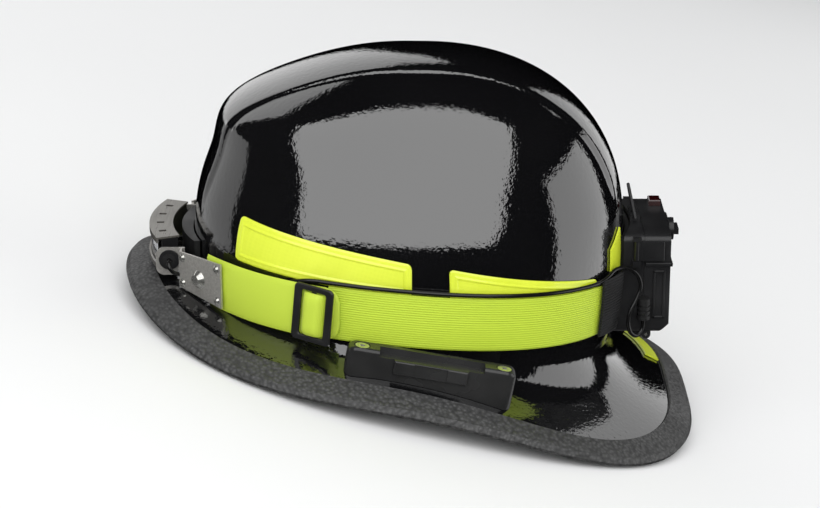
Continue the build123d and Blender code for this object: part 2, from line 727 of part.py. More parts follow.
def side_plate():
    """Folded stainless plate: an ear that carries the lamp's pivot and a face that carries the strap."""
    length = plate_length()
    outline = [(0, 26.5), (length, 22.0), (length, 50.0), (0, 49.0)]
    wire = Wire.make_polygon([Vector(x, 0, z) for x, z in outline], close=True)
    face = Solid.extrude(Face(wire), Vector(0, -PLATE_THICKNESS, 0)).moved(plate_frame())
    x0 = PIVOT_X + 0.2
    ear = box((x0, x0 + PLATE_THICKNESS), (LAMP_AXIS_Y - 8.2, -136.8), (31.5, 49.0))
    ear = ear.fillet(5.0, ear.edges().filter_by(Axis.X).group_by(Axis.Y)[0])
    bridge = box((x0, PLATE_FRONT.X + 0.6), (-139.6, -138.2), (31.5, 48.5))
    plate = face + ear + bridge - rod(
        (30, LAMP_AXIS_Y, LAMP_AXIS_Z), (60, LAMP_AXIS_Y, LAMP_AXIS_Z), PIVOT_RADIUS + 0.03
    )
    cable_notch = rod((x0 - 1, -139.5, 33.2), (PLATE_FRONT.X + 1.2, -139.5, 33.2), 2.0)
    for x, z in PLATE_RIVETS:
        plate = plate - rod((x, -5, z), (x, 5, z), 1.25).moved(plate_frame())
    x, z = DOME_RIVET
    plate = plate - rod((x, -5, z), (x, 5, z), 2.05).moved(plate_frame())
    return one(plate - cable_notch)


def rivet(x, z, shank, head, height, back):
    """A round-headed rivet through the side plate, in the plate's frame; outward is -Y there."""
    place = Plane(origin=(x, -PLATE_THICKNESS, z), z_dir=(0, -1, 0))
    dome = Solid.make_cone(head, head * 0.55, height, place)
    body = rod((x, -PLATE_THICKNESS, z), (x, back, z), shank)
    return one(dome + body).moved(plate_frame())


def lamp_pad():
    """Rubber cushion between the lamp's frame and the crown."""
    def outline(phi):
        rows = (33.5, 38.0, 43.0, 48.0, 52.5)
        inner = [(wall_at(phi, z) + 0.7, z) for z in rows]
        direction = Vector(math.cos(phi), math.sin(phi))
        b = -direction.Y * LAMP_CENTRE_Y
        outer_r = -b + math.sqrt(b * b - LAMP_CENTRE_Y**2 + 80.5**2)
        outer = [(max(outer_r, inner[0][0] + 3), z) for z in reversed(rows)]
        return inner + outer

    return band(-107, -73, outline, count=9)


# ------------------------------------------------------------------ straps, buckles and cable
def strap_edge(side):
    """Height of the strap's upper (+1) or lower (-1) edge at a bearing."""
    def height(phi):
        y = math.sin(phi) * (wall_at(phi, BELT_HEIGHT) + 3)
        return belt_height(y) + side * STRAP_WIDTH / 2

    return height


def strap_piece(start, end, inside, count=9, thickness=STRAP_THICKNESS):
    def gap(extra):
        return lambda phi: (inside(phi) if callable(inside) else inside) + extra

    def low(phi):
        return max(strap_edge(-1)(phi), foot_height(phi) - 1.0)

    return band(start, end, on_wall(low, strap_edge(1), gap(0), gap(thickness)), count)


def front_lift(phi):
    """The front strap stands further off the crown as it nears the side plate."""
    return 4.8 + max(0.0, -55 - math.degrees(phi)) * 0.12


def strap_front():
    return strap_piece(-62.5, -21.0, front_lift)


def strap_rear():
    return strap_piece(-25.0, 63.5, 1.8, count=15)


BUCKLE_BEARING = -27.8


def slide_buckle():
    """A flat frame that the strap threads through, with a centre bar."""
    phi = math.radians(BUCKLE_BEARING)
    z = strap_edge(0)(phi)
    r = wall_at(phi, z) + 8.8
    place = Plane(
        origin=(r * math.cos(phi), r * math.sin(phi), z),
        z_dir=(math.cos(phi), math.sin(phi), 0.03),
        x_dir=(-math.sin(phi), math.cos(phi), -0.09),
    ).location
    frame = Solid.make_box(26, 35, 2.4, Plane((-13, -17.5, 0)))
    frame = frame.fillet(3.0, frame.edges().filter_by(Axis.Z))
    for x in (-9.5, 1.5):
        frame = frame - Solid.make_box(8, 28, 4, Plane((x, -14, -1)))
    return one(frame).moved(place)


def web_loop():
    """Black webbing that ties the rear strap to the side of the battery case."""
    def low(phi):
        return -0.5 - (math.degrees(phi) - 60) * 0.3

    outline = on_wall(low, lambda _: 35.5, lambda _: 4.9, lambda _: 6.7)
    return band(60.5, 71.0, outline, count=4)


def cable_route():
    """Corners of the lamp's cable, from the pivot's bore along the strap to the battery case."""
    def along(bearing, lift, offset=2.9):
        phi = math.radians(bearing)
        z = strap_edge(1)(phi) + lift
        r = wall_at(phi, z) + offset
        return Vector(r * math.cos(phi), r * math.sin(phi), z)

    lamp_end = [
        Vector(PIVOT_X - 6, LAMP_AXIS_Y, LAMP_AXIS_Z), Vector(PIVOT_X + 7.4, LAMP_AXIS_Y, LAMP_AXIS_Z),
        Vector(50.4, -145.7, 38.9), Vector(49.8, -143.4, 35.6), Vector(47.0, -139.6, 33.4),
        Vector(45.8, -133.5, 33.2), Vector(52.6, -126.2, 38.6),
    ]
    hidden = [along(bearing, -5.0) for bearing in (-62, -54, -46)] + [along(-39, -3.8)]
    visible = [along(-31, 1.8, 3.3)]
    visible += [along(bearing, 2.1, 3.4) for bearing in range(-23, 59, 9)]
    visible += [along(63, 2.6, 3.2)]
    slack = [
        Vector(49.5, 124.5, 38.0), Vector(45.8, 132.0, 37.6), Vector(44.8, 138.6, 33.0),
        Vector(44.8, 141.2, 25.0), Vector(46.6, 138.0, 17.0), Vector(48.6, 134.2, 10.5),
        Vector(49.6, 132.8, 3.0), Vector(48.8, 134.6, -4.0),
        Vector(46.0, 138.6, -7.4), Vector(43.2, 142.4, -4.6), Vector(STRAIN_X, CABLE_ENTRY_Y, 1.6),
        Vector(STRAIN_X, CABLE_ENTRY_Y + 0.1, 12.0),
    ]
    return lamp_end + hidden + visible + slack


def lamp_cable():
    """Straight runs joined by tangent arcs, each as large as its two runs allow."""
    corners = cable_route()
    radii = []
    for a, b, c in zip(corners, corners[1:], corners[2:]):
        turn = math.radians((b - a).get_angle(c - b))
        radii.append(0.45 * min((b - a).length, (c - b).length) / math.tan(turn / 2))
    path = FilletPolyline(*corners, radius=radii)
    end = Face(Wire.make_circle(CABLE_RADIUS, Plane(origin=path @ 0, z_dir=path % 0)))
    return Solid.sweep(end, Wire(path.edges()))


# ------------------------------------------------------------------ battery pack
CASE_HALF = 38.0
CASE_LOW, CASE_HIGH = -8.0, 55.0
SEAM_Y = 143.0                   # between the fixed backing and the hinged cover
CASE_REAR = 159.0
HINGE_Y, HINGE_Z = 145.5, -9.8
STRAIN_X, CABLE_ENTRY_Y = 42.5, 143.0
CELL_RADIUS, CELL_LENGTH = 7.15, 50.0
CELL_X = (-22.2, -7.4, 7.4, 22.2)
CELL_Y = 149.4
CELL_LOW = -1.8
LATCH_Z = (40.0, 52.0)
KNOB_Z = 47.0
BAIL_Y, BAIL_Z = 139.0, 58.0


def battery_pad():
    outline = on_wall(lambda _: -1.2, lambda _: 52.0, lambda _: 0.5, lambda _: 3.2)
    return band(75, 105, outline, count=7)


def battery_backing(cutter):
    """Fixed half of the case: it follows the crown, cradles the cells and carries the pins."""
    block = box((-CASE_HALF, CASE_HALF), (112, SEAM_Y - 0.2), (CASE_LOW, CASE_HIGH))
    block = block.fillet(4.0, block.edges().filter_by(Axis.Y))
    block = max((block - cutter).solids(), key=lambda s: s.volume)
    for x in CELL_X:
        low, high = CELL_LOW - 0.8, CELL_LOW + CELL_LENGTH + 2.2
        block = block - rod((x, CELL_Y, low), (x, CELL_Y, high), CELL_RADIUS + 0.35)
    for x in (-27, 27):
        lug = box((x - 4, x + 4), (HINGE_Y - 8, HINGE_Y), (HINGE_Z - 2.8, CASE_LOW + 3))
        block = block + lug + rod((x - 4, HINGE_Y, HINGE_Z), (x + 4, HINGE_Y, HINGE_Z), 2.8)
        block = block - rod((x - 5, HINGE_Y, HINGE_Z), (x + 5, HINGE_Y, HINGE_Z), 1.02)
    for x in (-7.5, 7.5):
        block = block + box((x - 2.5, x + 2.5), (BAIL_Y - 3, BAIL_Y + 3), (CASE_HIGH - 2, BAIL_Z + 1))
        block = block - rod((x - 4, BAIL_Y, BAIL_Z - 0.6), (x + 4, BAIL_Y, BAIL_Z - 0.6), 1.1)
    for side in (-1, 1):
        x = sorted((side * CASE_HALF, side * (CASE_HALF + 3.4)))
        for z in ((LATCH_Z[0] - 4.2, LATCH_Z[0] - 0.2), (LATCH_Z[1] + 0.2, LATCH_Z[1] + 2.4)):
            block = block + box((x[0] - 1, x[1]) if side > 0 else (x[0], x[1] + 1), (135.6, 140.6), z)
        pin = side * (CASE_HALF + 1.7)
        block = block - rod((pin, 138.0, LATCH_Z[0] - 3.2), (pin, 138.0, CASE_HIGH + 2), 0.82)
    y = CABLE_ENTRY_Y - 3.5
    block = block + rod((STRAIN_X - 1.0, y, 9), (CASE_HALF - 2, y, 9), 3.0)
    return one(block - box((CASE_HALF + 0.2, 50), (CABLE_ENTRY_Y - 4.0, 155), (2.5, 17.5)))


def strain_relief():
    """Ribbed sleeve that takes the cable into the case's side."""
    sleeve = rod((STRAIN_X, CABLE_ENTRY_Y, 3), (STRAIN_X, CABLE_ENTRY_Y, 16.5), 3.9)
    for z in (5.5, 8.5, 11.5):
        groove = rod((STRAIN_X, CABLE_ENTRY_Y, z), (STRAIN_X, CABLE_ENTRY_Y, z + 1.2), 5)
        core = rod((STRAIN_X, CABLE_ENTRY_Y, z - 1), (STRAIN_X, CABLE_ENTRY_Y, z + 2), 3.3)
        sleeve = sleeve - (groove - core)
    bore = rod((STRAIN_X, CABLE_ENTRY_Y, 0), (STRAIN_X, CABLE_ENTRY_Y, 12.1), CABLE_RADIUS + 0.25)
    return one(sleeve - bore)


def battery_cells():
    cells = []
    for x in CELL_X:
        can = rod((x, CELL_Y, CELL_LOW), (x, CELL_Y, CELL_LOW + CELL_LENGTH - 1.2), CELL_RADIUS)
        cap = rod((x, CELL_Y, CELL_LOW + CELL_LENGTH - 1.2), (x, CELL_Y, CELL_LOW + CELL_LENGTH), 2.7)
        cells.append(one(can + cap))
    return cells


def battery_contacts():
    """Brass strips above and below the cells, one pair under each two."""
    bottom, top, y = CELL_LOW - 0.6, CELL_LOW + CELL_LENGTH + 0.1, (CELL_Y - 4, CELL_Y + 4)
    low = [box((x - 14, x + 14), y, (bottom, bottom + 0.5)) for x in (-14.8, 14.8)]
    high = [box((x - w, x + w), y, (top, top + 0.5)) for x, w in ((0, 13.5), (-23, 6), (23, 6))]
    return low + high


def battery_seal():
    """Rubber seal set in the seam between the two halves."""
    outer = box((-34.5, 34.5), (SEAM_Y - 0.1, SEAM_Y + 0.5), (CASE_LOW + 3, CASE_HIGH - 3))
    return one(outer - box((-33, 33), (SEAM_Y - 1, SEAM_Y + 2), (CASE_LOW + 4.5, CASE_HIGH - 4.5)))


def battery_cover():
    """Hinged half of the case, a box open towards the seam, with a chamfered lower edge."""
    cover = box((-CASE_HALF, CASE_HALF), (SEAM_Y, CASE_REAR), (CASE_LOW, CASE_HIGH))
    lower_rear = [e for e in cover.edges().filter_by(Axis.X) if e.center().Z < 0 and e.center().Y > 150]
    cover = cover.chamfer(6.0, None, lower_rear)
    cover = cover.fillet(4.0, [e for e in cover.edges().filter_by(Axis.Y)])
    cover = cover - box((-32, 32), (SEAM_Y - 1, CASE_REAR - 2.0), (CELL_LOW - 1.4, CASE_HIGH - 4.0))
    cover = cover - box((-34.8, 34.8), (SEAM_Y - 1, SEAM_Y + 0.6), (CASE_LOW + 2.7, CASE_HIGH - 2.7))
    cover = cover - box((-31.6, -22.4), (SEAM_Y - 1, HINGE_Y + 3.4), (CASE_LOW - 1, CASE_LOW + 4.2))
    cover = cover - box((22.4, 31.6), (SEAM_Y - 1, HINGE_Y + 3.4), (CASE_LOW - 1, CASE_LOW + 4.2))
    for x0, x1 in ((-22.2, -17), (17, 22.2), (-36, -31.8), (31.8, 36)):
        knuckle = rod((x0, HINGE_Y, HINGE_Z), (x1, HINGE_Y, HINGE_Z), 2.8)
        web = box((x0, x1), (HINGE_Y, HINGE_Y + 2.8), (HINGE_Z, CASE_LOW + 1))
        cover = cover + knuckle + web - rod((x0 - 1, HINGE_Y, HINGE_Z), (x1 + 1, HINGE_Y, HINGE_Z), 1.05)
    boss = box((-11, 11), (CASE_REAR - 1, CASE_REAR + 1.6), (38.5, 54.0))
    cover = cover + boss.fillet(1.0, boss.edges().group_by(Axis.Y)[-1])
    return one(cover - rod((0, 150, KNOB_Z), (0, 170, KNOB_Z), 2.05))


def hinge_pins():
    pins = []
    for x0, x1 in ((-36, -17), (17, 36)):
        pins.append(rod((x0, HINGE_Y, HINGE_Z), (x1, HINGE_Y, HINGE_Z), 1.0))
    return pins


def switch_knob():
    """Rotary switch on the cover, with a grip bar across it."""
    y = CASE_REAR + 1.7
    grip = box((-6.2, 6.2), (y + 2.5, y + 6.0), (KNOB_Z - 1.8, KNOB_Z + 1.8))
    knob = rod((0, y, KNOB_Z), (0, y + 3.0, KNOB_Z), 7.0) + grip
    return one(knob + rod((0, CASE_REAR - 1.5, KNOB_Z), (0, y, KNOB_Z), 2.0))


def tail_light():
    """Small red lens on top of the cover, on the wearer's right."""
    lens = box((-30, -20), (150, 157.5), (CASE_HIGH + 0.1, CASE_HIGH + 4.0))
    return lens.fillet(1.2, lens.edges().group_by(Axis.Z)[-1])


def top_bail():
    """Triangular wire loop, pivoted in two lugs on top of the case."""
    z = BAIL_Z - 0.6
    corners = [Vector(-12.5, BAIL_Y, z), Vector(0, BAIL_Y - 4, 76), Vector(12.5, BAIL_Y, z)]
    path = Wire.make_polygon(corners, close=False)
    end = Face(Wire.make_circle(1.0, Plane(origin=corners[0], z_dir=corners[1] - corners[0])))
    wire = Solid.sweep(end, path, transition=Transition.ROUND)
    for x in (-1, 1):
        wire = wire + rod((x * 12.9, BAIL_Y, z), (x * 4.6, BAIL_Y, z), 1.0)
    return one(wire)


def case_latch():
    """Side clip that holds the two halves together."""
    x = CASE_HALF + 0.4
    plate = box((x, x + 2.2), (139.8, 155.0), LATCH_Z)
    plate = plate.fillet(1.0, plate.edges().filter_by(Axis.Z).group_by(Axis.X)[-1])
    pin = CASE_HALF + 1.7
    knuckle = rod((pin, 138.0, LATCH_Z[0]), (pin, 138.0, LATCH_Z[1]), 1.6)
    neck = box((pin - 0.8, pin + 0.8), (138.5, 141.0), LATCH_Z)
    axle = rod((pin, 138.0, LATCH_Z[0] - 3.0), (pin, 138.0, LATCH_Z[1] + 2.2), 0.8)
    return one(plate + knuckle + neck + axle)


# ------------------------------------------------------------------ assembly
def build():
    bar_cutter = under(0.3)
    case_cutter = under(3.8)
    plate = side_plate()
    small = [rivet(x, z, 1.2, 2.6, 1.1, 1.0) for x, z in PLATE_RIVETS]
    dome = rivet(*DOME_RIVET, 2.0, 5.75, 2.8, 1.2)
    bar = side_bar(bar_cutter)
    front, rear, tail = reflector(FRONT_REFLECTOR), reflector(REAR_REFLECTOR), reflector(TAIL_REFLECTOR)
    return {
        "outer_shell": [outer_shell()],
        "edge_trim": [edge_trim()],
        "reflectors_front": both(front),
        "reflectors_rear": both(rear),
        "reflectors_tail": both(tail) + [brim_reflector()],
        "side_bar_left": [bar],
        "side_bar_right": [mirrored(bar)],
        "bar_screws": [s for location in bar_screw_axes() for s in both(bar_screw(location))],
        "bar_nuts": [s for location in bar_screw_axes() for s in both(bar_nut(location))],
        "impact_liner": [impact_liner()],
        "suspension_blocks": suspension_blocks(),
        "headband": [headband()],
        "brow_pad": [brow_pad()],
        "crown_straps": [crown_strap(0, 0.0), crown_strap(60, 3.0), crown_strap(120, 6.0)],
        "ratchet_housing": [ratchet_housing()],
        "ratchet_pinion": [ratchet_pinion()],
        "ratchet_knob": [ratchet_knob()],
        "rack_left": [rack(True)],
        "rack_right": [rack(False)],
        "nape_pad": [nape_pad()],
        "chin_brackets": both(chin_bracket()),
        "chin_bolts": both(chin_bolt()),
        "chin_strap_left": [chin_strap(66)],
        "chin_strap_right": [mirrored(chin_strap(75.8))],
        "chin_buckle_socket": [chin_buckle_socket()],
        "chin_buckle_tongue": [chin_buckle_tongue()],
        "lamp_housing": [lamp_housing()],
        "lamp_gasket": [lamp_gasket()],
        "lamp_lens": [lamp_lens()],
        "lamp_reflector": [lamp_reflector()],
        "lamp_board": [lamp_board()],
        "lamp_leds": lamp_leds(),
        "lamp_top_plate": [lamp_top_plate()],
        "lamp_bottom_plate": [lamp_bottom_plate()],
        "lamp_pivot_left": [lamp_pivot(True)],
        "lamp_pivot_right": [mirrored(lamp_pivot(False))],
        "cable_grommet": [cable_grommet()],
        "lamp_pad": [lamp_pad()],
        "side_plate_left": [plate],
        "side_plate_right": [mirrored(plate)],
        "plate_rivets": [s for r in small for s in both(r)] + both(dome),
        "strap_front_left": [strap_front()],
        "strap_front_right": [mirrored(strap_front())],
        "strap_rear_left": [strap_rear()],
        "strap_rear_right": [mirrored(strap_rear())],
        "slide_buckles": both(slide_buckle()),
        "web_loops": both(web_loop()),
        "lamp_cable": [lamp_cable()],
        "battery_pad": [battery_pad()],
        "battery_backing": [battery_backing(case_cutter)],
        "battery_inside": battery_cells() + battery_contacts(),
        "battery_cover": [battery_cover()],
        "battery_seal": [battery_seal()],
        "hinge_pins": hinge_pins(),
        "tail_light": [tail_light()],
        "top_bail": [top_bail()],
        "strain_relief": [strain_relief()],
        "switch_knob": [switch_knob()],
        "case_latch_left": [case_latch()],
        "case_latch_right": [mirrored(case_latch())],
    }


def to_row(solid):
    """Turns a solid from the design frame to the row frame."""
    return solid.rotate(Axis.X, REST_PITCH).moved(Location((0, REST_Y, REST_Z)))


def main():
    os.makedirs("parts", exist_ok=True)
    for name, solids in build().items():
        export_step(Compound([to_row(s) for s in solids]), f"parts/{name}.step")


if __name__ == "__main__":
    main()
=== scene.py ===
import math

import bmesh
import bpy
import numpy as np
from mathutils import Matrix, Vector


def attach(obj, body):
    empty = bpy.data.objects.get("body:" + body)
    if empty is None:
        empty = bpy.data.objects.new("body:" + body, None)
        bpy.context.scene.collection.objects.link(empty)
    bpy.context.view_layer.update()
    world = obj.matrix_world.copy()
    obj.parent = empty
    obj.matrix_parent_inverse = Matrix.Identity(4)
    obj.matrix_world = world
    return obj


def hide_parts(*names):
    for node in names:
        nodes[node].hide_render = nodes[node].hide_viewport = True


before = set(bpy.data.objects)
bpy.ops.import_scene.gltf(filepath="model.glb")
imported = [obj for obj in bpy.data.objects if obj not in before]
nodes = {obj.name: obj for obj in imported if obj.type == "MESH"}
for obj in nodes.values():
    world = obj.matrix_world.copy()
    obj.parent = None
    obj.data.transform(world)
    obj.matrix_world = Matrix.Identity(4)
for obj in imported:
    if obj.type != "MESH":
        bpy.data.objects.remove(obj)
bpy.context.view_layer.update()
scene = bpy.context.scene

# Lengths are in millimetres in the helmet's design frame, as in the part's source: +X the wearer's left,
# -Y the front, +Z up with the crown upright.  to_row() takes them to the row frame, in metres.
REST_PITCH, REST_BACK, REST_LIFT = 13.91, -4.63e-3, 29.67e-3
REST = Matrix.Translation((0, REST_BACK, REST_LIFT)) @ Matrix.Rotation(math.radians(REST_PITCH), 4, "X")
REST_TURN = np.array(REST.to_3x3())
REST_MOVE = np.array(REST.translation)


def to_row(points):
    return np.asarray(points, float) / 1000 @ REST_TURN.T + REST_MOVE


# ------------------------------------------------------------------ the helmet's surface
CROWN_HALF_WIDTH, CROWN_FRONT, CROWN_REAR, CROWN_HEIGHT = 106.0, 132.0, 124.7, 162.5
CROWN_PLAN_POWER, CROWN_LEAN = 2.25, 1.5
CROWN_POWERS = (2.12, 2.27, 2.4)                       # each of these for the front, the rear and the sides
CROWN_TAPERS = (-0.135, -0.31, 0.05)
BROW_TAPERS = (0.034, 0.0, 0.0)
BRIM_HALF_WIDTH, BRIM_FRONT, BRIM_REAR = 142.0, 173.7, 174.7
BRIM_POWER_FRONT, BRIM_POWER_REAR = 2.14, 2.93
EDGE_CURVE = (-19.8, -20.2, -10.3, -4.2, 3.7, 0.68)    # height of the brim's edge, by powers of y / 100
EDGE_CROWN = 2.6                                       # how far the edge rises at the sides
FOOT_HEIGHT, FOOT_RISE = 5.0, -18.0
EDGE_SLOPES = (12.0, 38.0, 30.0)                       # degrees at the front, the rear and the sides
BRIM_TANGENT = 0.62                                    # reach of the edge's slope, as a share of the width
EDGE_RUN = 30.0                                        # how fast the surface runs on past the edge
SHELL_THICKNESS = 3.0
BELT_HEIGHT, BELT_PITCH, STRAP_WIDTH, STRAP_THICKNESS = 26.0, 5.0, 32.0, 1.4
HEAD_HALF_WIDTH, HEAD_FRONT, HEAD_REAR, HEAD_PLAN_POWER = 76.0, 97.0, 92.0, 2.2
BROW_SWELL, BROW_SWELL_RISE, BROW_SWELL_SPREAD = 13.6, 0.766, 0.147
RIDGE_HEIGHT, RIDGE_SINK, RIDGE_EDGE = 1.7, 1.1, (31.5, 36.5)
RELIEF_FADE = (66, 92)                                 # heights between which the crown's relief fades in


def by_side(s, front, rear, side):
    """Blends a value for the front, the rear and the sides by the sine of the bearing."""
    return side + (np.where(s < 0, front, rear) - side) * s * s


def oval(phi, half_width, half_length, power):
    """Radius of a superellipse at a bearing."""
    total = np.abs(np.cos(phi) / half_width) ** power + np.abs(np.sin(phi) / half_length) ** power
    return total ** (-1 / power)


def wall_radius(phi):
    return oval(phi, CROWN_HALF_WIDTH, np.where(np.sin(phi) < 0, CROWN_FRONT, CROWN_REAR), CROWN_PLAN_POWER)


def brim_radius(phi):
    front = oval(phi, BRIM_HALF_WIDTH, BRIM_FRONT, BRIM_POWER_FRONT)
    return np.where(np.sin(phi) < 0, front, oval(phi, BRIM_HALF_WIDTH, BRIM_REAR, BRIM_POWER_REAR))


def head_radius(phi):
    return oval(phi, HEAD_HALF_WIDTH, np.where(np.sin(phi) < 0, HEAD_FRONT, HEAD_REAR), HEAD_PLAN_POWER)


def foot_height(phi):
    return FOOT_HEIGHT + FOOT_RISE * wall_radius(phi) * np.sin(phi) / 100


def crown_point(phi, v):
    """A point on the crown, v from 0 at its top to 1 at its foot."""
    s = np.sin(phi)
    power = by_side(s, *CROWN_POWERS)
    rise = np.maximum(1e-9, np.cos(v * math.pi / 2)) ** (2 / power)
    reach = np.maximum(1e-9, np.sin(v * math.pi / 2)) ** (2 / power)
    taper, brow = by_side(s, *CROWN_TAPERS), by_side(s, *BROW_TAPERS)
    r = wall_radius(phi) * reach * (1 - taper * rise - brow * rise**3)
    swell = BROW_SWELL * np.exp(-(((rise - BROW_SWELL_RISE) / BROW_SWELL_SPREAD) ** 2))
    r = r + swell * np.maximum(0.0, -s) ** 2
    foot = foot_height(phi)
    return np.stack([r * np.cos(phi), r * s + CROWN_LEAN * rise**2, foot + rise * (CROWN_HEIGHT - foot)], -1)


def brim_point(phi, t):
    """A point on the brim, t from 0 at the crown's foot to 1 at its edge and on past it."""
    c, s = np.cos(phi), np.sin(phi)
    r0, r3 = wall_radius(phi), brim_radius(phi)
    y = r3 * s / 100
    z0 = foot_height(phi)
    z3 = sum(k * y**i for i, k in enumerate(EDGE_CURVE)) + EDGE_CROWN * (r3 * c / BRIM_HALF_WIDTH) ** 2
    slope = np.radians(by_side(s, *EDGE_SLOPES))
    reach = BRIM_TANGENT * (r3 - r0)
    past = np.maximum(0.0, t - 1) * EDGE_RUN
    t = np.minimum(t, 1.0)
    w = ((1 - t) ** 3, 3 * t * (1 - t) ** 2, 3 * t * t * (1 - t), t**3)
    r = (w[0] + w[1]) * r0 + w[2] * (r3 - reach * np.cos(slope)) + w[3] * r3 + past * np.cos(slope)
    z = w[0] * z0 + w[1] * (z0 + z3) / 2 + w[2] * (z3 + reach * np.sin(slope)) + w[3] * z3
    z = z - past * np.sin(slope)
    return np.stack([r * c, r * s, z], -1)


def on_shell(phi, v):
    """The shell's outer surface: the crown up to v = 1 and the brim up to v = 2."""
    phi, v = np.broadcast_arrays(np.asarray(phi, float), np.asarray(v, float))
    crown = crown_point(phi, np.minimum(v, 1.0))
    brim = brim_point(phi, np.maximum(v - 1, 0.0))
    return np.where((v <= 1)[..., None], crown, brim)


def shell_normal(phi, v, step=1e-3):
    around = on_shell(phi + step, v) - on_shell(phi - step, v)
    down = on_shell(phi, v + step) - on_shell(phi, np.maximum(v - step, 1e-4))
    normal = np.cross(down, around)
    return normal / np.linalg.norm(normal, axis=-1, keepdims=True)


def wall_at(phi, z):
    """Radius of the crown at a bearing and a height."""
    phi, z = np.broadcast_arrays(np.asarray(phi, float), np.asarray(z, float))
    high, low = np.full(phi.shape, 0.2), np.ones(phi.shape)
    for _ in range(30):
        mid = (high + low) / 2
        above = on_shell(phi, mid)[..., 2] > z
        high, low = np.where(above, mid, high), np.where(above, low, mid)
    p = on_shell(phi, low)
    return np.hypot(p[..., 0], p[..., 1])


def smooth(low, high, x):
    t = np.clip((x - low) / (high - low), 0, 1)
    return t * t * (3 - 2 * t)


def ridge(points):
    """Height of the shell's moulded relief: a broad raised band runs from front to back over the crown."""
    across = 1 - smooth(*RIDGE_EDGE, np.abs(points[..., 0]))
    return (across * RIDGE_HEIGHT - RIDGE_SINK) * smooth(*RELIEF_FADE, points[..., 2])


def belt_height(y):
    return BELT_HEIGHT - y * math.tan(math.radians(BELT_PITCH))


def strap_mid(phi):
    return belt_height(np.sin(phi) * (wall_at(phi, BELT_HEIGHT) + 3))


# ------------------------------------------------------------------ mesh helpers
def make_object(name, vertices, faces, uv=None, smooth_angle=math.radians(40)):
    """A mesh object from points in the design frame; uv is one pair of metres for each vertex."""
    mesh = bpy.data.meshes.new(name)
    mesh.from_pydata([tuple(p) for p in to_row(vertices)], [], faces)
    if uv is not None:
        layer = mesh.uv_layers.new(name="cloth")
        for loop in mesh.loops:
            layer.data[loop.index].uv = uv[loop.vertex_index]
    work = bmesh.new()
    work.from_mesh(mesh)
    bmesh.ops.remove_doubles(work, verts=work.verts, dist=1e-6)
    bmesh.ops.recalc_face_normals(work, faces=work.faces)
    work.to_mesh(mesh)
    work.free()
    mesh.shade_smooth()
    mesh.set_sharp_from_angle(angle=smooth_angle)
    thing = bpy.data.objects.new(name, mesh)
    scene.collection.objects.link(thing)
    return thing


def slab(name, outer, inner, wrap=False, along=None, across=None):
    """A closed skin between two grids of points, rows by columns; wrap joins the last column to the first.
    along and across are cloth lengths in millimetres that spread over the grid."""
    rows, columns = outer.shape[:2]
    count = rows * columns
    faces = []
    for i in range(rows - 1):
        for j in range(columns if wrap else columns - 1):
            k = (j + 1) % columns
            a, b = i * columns + j, i * columns + k
            c, d = (i + 1) * columns + k, (i + 1) * columns + j
            faces.append((a, b, c, d))
            faces.append((count + d, count + c, count + b, count + a))
    for i in (0, rows - 1):
        for j in range(columns if wrap else columns - 1):
            k = (j + 1) % columns
            a, b = i * columns + j, i * columns + k
            faces.append((a, b, count + b, count + a))
    if not wrap:
        for j in (0, columns - 1):
            for i in range(rows - 1):
                a, b = i * columns + j, (i + 1) * columns + j
                faces.append((a, b, count + b, count + a))
    uv = None
    if along is not None:
        grid = np.stack(np.broadcast_arrays(along, across), -1).reshape(-1, 2) / 1000
        uv = np.concatenate([grid, grid])
    return make_object(name, np.concatenate([outer.reshape(-1, 3), inner.reshape(-1, 3)]), faces, uv)


def at_bearing(phi, r, z):
    phi, r, z = np.broadcast_arrays(phi, r, z)
    return np.stack([r * np.cos(phi), r * np.sin(phi), z], -1)


def flipped(points):
    return points * np.array([-1.0, 1.0, 1.0])


# ------------------------------------------------------------------ materials
def new_material(name):
    material = bpy.data.materials.new(name)
    material.use_nodes = True
    tree = material.node_tree
    tree.nodes.clear()
    out = tree.nodes.new("ShaderNodeOutputMaterial")
    shader = tree.nodes.new("ShaderNodeBsdfPrincipled")
    tree.links.new(shader.outputs[0], out.inputs[0])
    return material, tree, shader


def coordinates(tree, cloth=False):
    if cloth:
        uv = tree.nodes.new("ShaderNodeUVMap")
        uv.uv_map = "cloth"
        return uv.outputs[0]
    return tree.nodes.new("ShaderNodeTexCoord").outputs["Object"]


def noise(tree, where, scale, detail=3.0, roughness=0.5):
    texture = tree.nodes.new("ShaderNodeTexNoise")
    texture.inputs["Scale"].default_value = scale
    texture.inputs["Detail"].default_value = detail
    texture.inputs["Roughness"].default_value = roughness
    tree.links.new(where, texture.inputs["Vector"])
    return texture.outputs["Fac"]


def ramp(tree, value, stops):
    """Maps a value through (position, colour or number) stops."""
    node = tree.nodes.new("ShaderNodeValToRGB")
    elements = node.color_ramp.elements
    while len(elements) < len(stops):
        elements.new(0.5)
    for element, (position, colour) in zip(elements, stops):
        element.position = position
        element.color = (*colour, 1) if isinstance(colour, tuple) else (colour, colour, colour, 1)
    tree.links.new(value, node.inputs[0])
    return node.outputs[0]


def math_node(tree, operation, *values):
    node = tree.nodes.new("ShaderNodeMath")
    node.operation = operation
    for socket, value in zip(node.inputs, values):
        if isinstance(value, (int, float)):
            socket.default_value = value
        else:
            tree.links.new(value, socket)
    return node.outputs[0]


def bump(tree, shader, height, distance, strength=1.0, coat=False):
    node = tree.nodes.new("ShaderNodeBump")
    node.inputs["Strength"].default_value = strength
    node.inputs["Distance"].default_value = distance
    tree.links.new(height, node.inputs["Height"])
    tree.links.new(node.outputs[0], shader.inputs["Normal"])
    if coat:
        tree.links.new(node.outputs[0], shader.inputs["Coat Normal"])


def settings(shader, **values):
    for name, value in values.items():
        shader.inputs[name.replace("_", " ")].default_value = value


